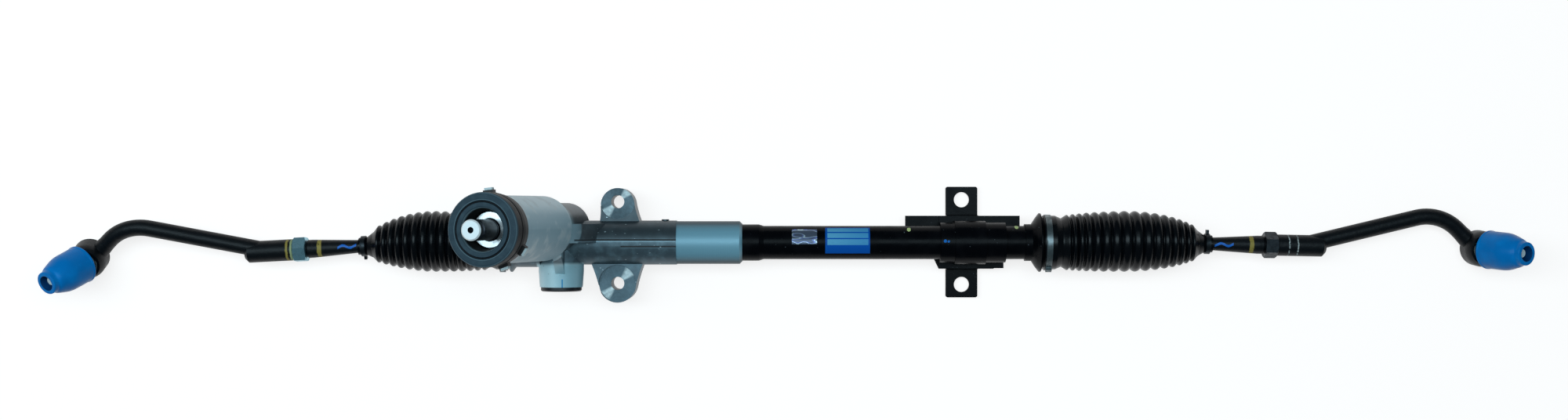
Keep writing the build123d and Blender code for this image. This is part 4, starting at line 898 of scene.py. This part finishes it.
def skin(name, grid, material):
    """Closed mesh from a grid of points that joins up in both directions, faces outward.

    The sum over the faces of a . (b x c + c x d) has the sign of the volume they enclose,
    so a negative sum means that every face has to be turned over.
    """
    index = np.arange(grid.shape[0] * grid.shape[1]).reshape(grid.shape[:2])
    ahead = np.roll(index, -1, 0)
    quads = np.stack([index, ahead, np.roll(ahead, -1, 1), np.roll(index, -1, 1)], -1)
    quads = quads.reshape(-1, 4)
    points = grid.reshape(-1, 3)
    a, b, c, d = (points[quads[:, i]] for i in range(4))
    volume = np.sum(a * (np.cross(b, c) + np.cross(c, d)))
    if volume < 0:
        quads = quads[:, ::-1]
    mesh = bpy.data.meshes.new(name)
    mesh.from_pydata(points.tolist(), [], quads.tolist())
    mesh.polygons.foreach_set("use_smooth", np.ones(len(quads), bool))
    mesh.set_sharp_from_angle(angle=SHARP_ANGLE)
    mesh.materials.append(material)
    return link(bpy.data.objects.new(name, mesh))


print("outline tools ready")

# %% [markdown]
# ## Bellows
# A boot has to let the rack slide and the rod swing, so it does both jobs in different
# places.  The long ribbed stretch beside the housing follows the rack, like a concertina.
# The stretch over the ball turns with the rod.  Each side is made as three skins that meet
# at the bottom of a fold, named slide, lift and swing after the rack's slide and the rod's
# lift and swing.  The radius is a belly that narrows, less the depth of the folds, and
# the centre line bends late to meet the rod.

# %% Sizes and wall of a boot
RIBS = {"left": 14, "right": 16}
FIRST_RIB = {"left": 48.0, "right": 66.0}
LAST_RIB = 49.4
COLLAR = {"left": (-69.5, -58.6), "right": (-87.5, -76.6)}
COLLAR_RADIUS = 24.62
BIG_CREST, SMALL_CREST, BELLY = 25.3, 16.9, 2.5
CROWDING = {"left": 0.12, "right": 0.28}
FOLD_DEPTH = 3.2
BOW = 1.1
FUNNEL = (53.6, 12.0)
NECK = (60.5, 67.5)
NECK_RADIUS = 7.8
SEAMS = {"left": (28.0, 38.0, 50.0), "right": (26.0, 37.0, 50.0)}
TAPER_FROM, TAPER_POWER = 0.5, 1.55
CREST_POWER = 0.75
SHOULDER = 5.0
COLLAR_WALL, RIB_WALL = 2.0, 1.5
STATION = 0.4
RING_POINTS = 112
SOFTENING = 15
RUBBER_BLACK, RUBBER_BLOOM = (0.0010, 0.0017, 0.0030), (0.0022, 0.0030, 0.0042)


def boot_radius(side, distance):
    """Outer radius at each distance from the ball, in millimetres.

    It is the crest's radius less the fold's depth times (1 - |cos|^0.75), one half wave a
    rib.  The crest is a belly, a half sine, that narrows over its second half, and a whole
    sine taken off the ribs' places crowds them together at both ends.
    """
    first, gaps = FIRST_RIB[side], RIBS[side] - 1
    t = np.linspace(0, 1, 2000)
    crowd = CROWDING[side] / (2 * np.pi) * np.sin(2 * np.pi * t)
    place = -first + (first + LAST_RIB) * (t - crowd)
    fall = np.maximum(t - TAPER_FROM, 0) / (1 - TAPER_FROM)
    belly = BELLY * np.sin(np.pi * t)
    crest = BIG_CREST + belly - (BIG_CREST - SMALL_CREST) * fall**TAPER_POWER
    near = np.abs(np.cos(np.pi * gaps * t))**CREST_POWER
    ribs = crest - FOLD_DEPTH * (1 - near)
    before = [(COLLAR[side][0], COLLAR_RADIUS), (COLLAR[side][1], COLLAR_RADIUS),
              (-first - SHOULDER, BIG_CREST - FOLD_DEPTH)]
    after = [FUNNEL, (NECK[0], NECK_RADIUS), (NECK[1], NECK_RADIUS)]
    stations = np.concatenate([before, np.stack([place, ribs], 1), after])
    return np.interp(distance, stations[:, 0], stations[:, 1])


def boot_skin(side, low, high):
    """Grid of the boot's wall between two distances from the ball.

    Each ring is its centre plus radius times (cos, sin).  The centre starts on the rack's
    axis, bends to the rod's line as the fourth power of the way along, and bows a little
    towards +Y as a half sine.
    """
    distance = np.linspace(low, high, int((high - low) / STATION) + 1)
    fine = np.arange(COLLAR[side][0] - 2, NECK[1] + 2, 0.1)
    window = np.hanning(SOFTENING)
    smooth = np.convolve(boot_radius(side, fine), window / window.sum(), "same")
    outer = np.interp(distance, fine, smooth)
    end_of_collar = COLLAR[side][1]
    wall = np.interp(distance, (end_of_collar, end_of_collar + 4), (COLLAR_WALL, RIB_WALL))
    distance = np.concatenate([distance, distance[::-1]])
    radius = np.concatenate([outer, (outer - wall)[::-1]])
    start = -FIRST_RIB[side] / 2
    bend = np.clip((distance - start) / (NECK[0] - start), 0, 1)
    heading = ROD[side][1][2]
    reach = np.maximum(distance, NECK[0]) * bend**4 / abs(heading[0])
    middle = np.clip((distance + FIRST_RIB[side]) / (NECK[0] + FIRST_RIB[side]), 0, 1)
    bow = BOW * np.sin(np.pi * middle)
    angle = 2 * np.pi * np.arange(RING_POINTS)[:, None] / RING_POINTS
    grid = np.stack([np.broadcast_to(HAND[side] * distance, (RING_POINTS, len(distance))),
                     heading[1] * reach + bow + radius * np.cos(angle),
                     heading[2] * reach + radius * np.sin(angle)], -1)
    return OUTBOARD[side][0] + grid * MM


def boot_finish():
    """Black rubber: a soft sheen, cloudy bloom, a fine grain."""
    finish = Finish("boot_rubber", RUBBER_BLACK, 0.24, specular=0.18)
    bloom = finish.rise(finish.noise(11 * MM, 4.0), 0.48, 0.78)
    finish.paint(bloom, RUBBER_BLOOM, 0.42)
    finish.relief(finish.noise(1.1 * MM, 2.0), 0.02 * MM)
    return finish.done()


for side in HAND:
    print(side, "boot: crest beside the housing", BIG_CREST, "mm, wall radius at the ball",
          round(float(boot_radius(side, 0.0)), 1), "mm")

# %% Boots in place
boot_rubber = boot_finish()
for side, hand in HAND.items():
    seam1, seam2, end = SEAMS[side]
    cuts = [COLLAR[side][0], seam1, seam2, NECK[1]]
    pieces = []
    for i, part in enumerate(("slide", "lift", "swing")):
        grid = boot_skin(side, cuts[i], cuts[i + 1])
        piece = skin(f"boot_{part}_{side}", grid, boot_rubber)
        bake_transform(piece)
        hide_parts(f"boot_{side}")
        pieces.append(piece)
    print(side, "boot:", RIBS[side], "ribs,", sum(len(p.data.polygons) for p in pieces), "faces")

# %% [markdown]
# ## Caps, skirts and the dust cover
# A shipping cap is blown from soft blue plastic, so its shoulder is a wide curve, its rim
# is rolled and its nozzle is open.  The rubber skirt under it wipes over the ball pot and
# holds on the stud with a ringed collar.  The dust cover is a thick ring of rubber: a
# groove runs round its face, a lip stands at the mouth and the mouth narrows like a funnel.

# %% Outlines of caps, skirts and cover
SKIRT_TILT = (57.4, 33.0)
SKIRT_RADIUS, SKIRT_INNER, SKIRT_WAVE = 17.9, 16.8, 0.3
CAP_SHADED_BORE = (7.5 * MM, 7.0 * MM)
CAP_BLUE, CAP_CLOUD, CAP_NOZZLE_SHADE = (0.0004, 0.205, 0.60), (0.0008, 0.250, 0.70), (0.0003, 0.045, 0.16)


def cap_outline():
    """Wall of a cap: rolled rim, straight skirt, wide shoulder, short open nozzle."""
    return rounded([
        (17.75, 8.0, 0.5), (17.75, 9.6, 0.5), (17.3, 10.4, 0.5), (17.2, 31.0, 5.0),
        (12.9, 43.6, 2.5), (10.9, 46.0, 1.2), (10.6, 51.0, 0.9), (6.75, 51.0, 0.7),
        (6.75, 42.0, 1.2), (15.7, 33.0, 4.0), (15.8, 8.0, 0.5),
    ], 8)


def skirt_outline():
    """Wall of a skirt: part of a sphere with three soft waves, then a grooved collar.

    A point of the sphere lies at radius * (sin, cos) of its tilt from the stud.
    """
    u = np.linspace(0, 1, 28)
    tilt = np.radians(SKIRT_TILT[0] + (SKIRT_TILT[1] - SKIRT_TILT[0]) * u)
    radius = SKIRT_RADIUS + SKIRT_WAVE * np.cos(6 * np.pi * u)
    outer = np.stack([radius * np.sin(tilt), radius * np.cos(tilt)], 1)
    collar = rounded([
        (9.0, 14.4, 0.3), (9.6, 16.0, 0.4), (9.6, 18.6, 0.4), (8.7, 19.2, 0.3), (8.7, 20.8, 0.3),
        (9.6, 21.4, 0.4), (9.6, 24.0, 0.6), (7.05, 24.0, 0.3), (7.05, 15.4, 0.1)], 5)[5:-5]
    under = np.radians(np.linspace(24.9, 55.0, 24))
    inner = SKIRT_INNER * np.stack([np.sin(under), np.cos(under)], 1)
    return np.concatenate([outer, collar, inner])


def cover_outline():
    """Wall of the dust cover: ringed flank, grooved face, raised lip, narrowing mouth."""
    return rounded([
        (16.3, 157.0, 0.3), (31.0, 157.0, 0.4), (31.5, 157.8, 0.4), (31.5, 163.0, 0.3),
        (31.0, 163.6, 0.3), (31.0, 164.8, 0.3), (31.5, 165.4, 0.3), (31.5, 175.0, 1.2),
        (29.8, 176.4, 1.0), (24.9, 176.5, 0.5), (24.3, 175.1, 0.4), (23.3, 175.1, 0.4),
        (22.9, 176.4, 0.4), (19.6, 176.4, 0.8), (18.3, 174.9, 1.0), (16.3, 162.0, 1.5),
    ], 6)


def cap_finish(side):
    """Soft blue plastic: cloudy depth of colour, faint flow lines, painted shade in the bore."""
    finish = Finish(f"cap_blue_{side}", CAP_BLUE, 0.30, specular=0.12)
    finish.paint(finish.rise(finish.noise(12 * MM, 3.0), 0.4, 0.75), CAP_CLOUD, 0.40)
    # painted shade: the inside of the nozzle is darkened as shade in a hollow
    finish.paint(finish.rise(finish.around(STUD[side]), *CAP_SHADED_BORE), CAP_NOZZLE_SHADE, 0.45)
    finish.relief(finish.noise(5 * MM, 2.0), 0.05 * MM)
    finish.relief(finish.noise(0.8 * MM, 2.0), 0.008 * MM)
    return finish.done()


print("outline points: cap", len(cap_outline()), "skirt", len(skirt_outline()),
      "cover", len(cover_outline()))

# %% Caps, skirts and cover in place
for side in HAND:
    cap = skin(f"cap_{side}", lathe(STUD[side], cap_outline(), 128), cap_finish(side))
    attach(cap, f"shipping_cap_{side}")
    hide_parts(f"shipping_cap_{side}")
    skirt = skin(f"skirt_{side}", lathe(STUD[side], skirt_outline()), boot_rubber)
    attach(skirt, f"ball_stud_{side}")
    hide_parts(f"joint_boot_{side}")
cover = skin("cover", lathe(PINION, cover_outline(), 160), cover_finish())
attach(cover, "housing")
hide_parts("dust_cover")
print("caps, skirts and dust cover made")

# %% [markdown]
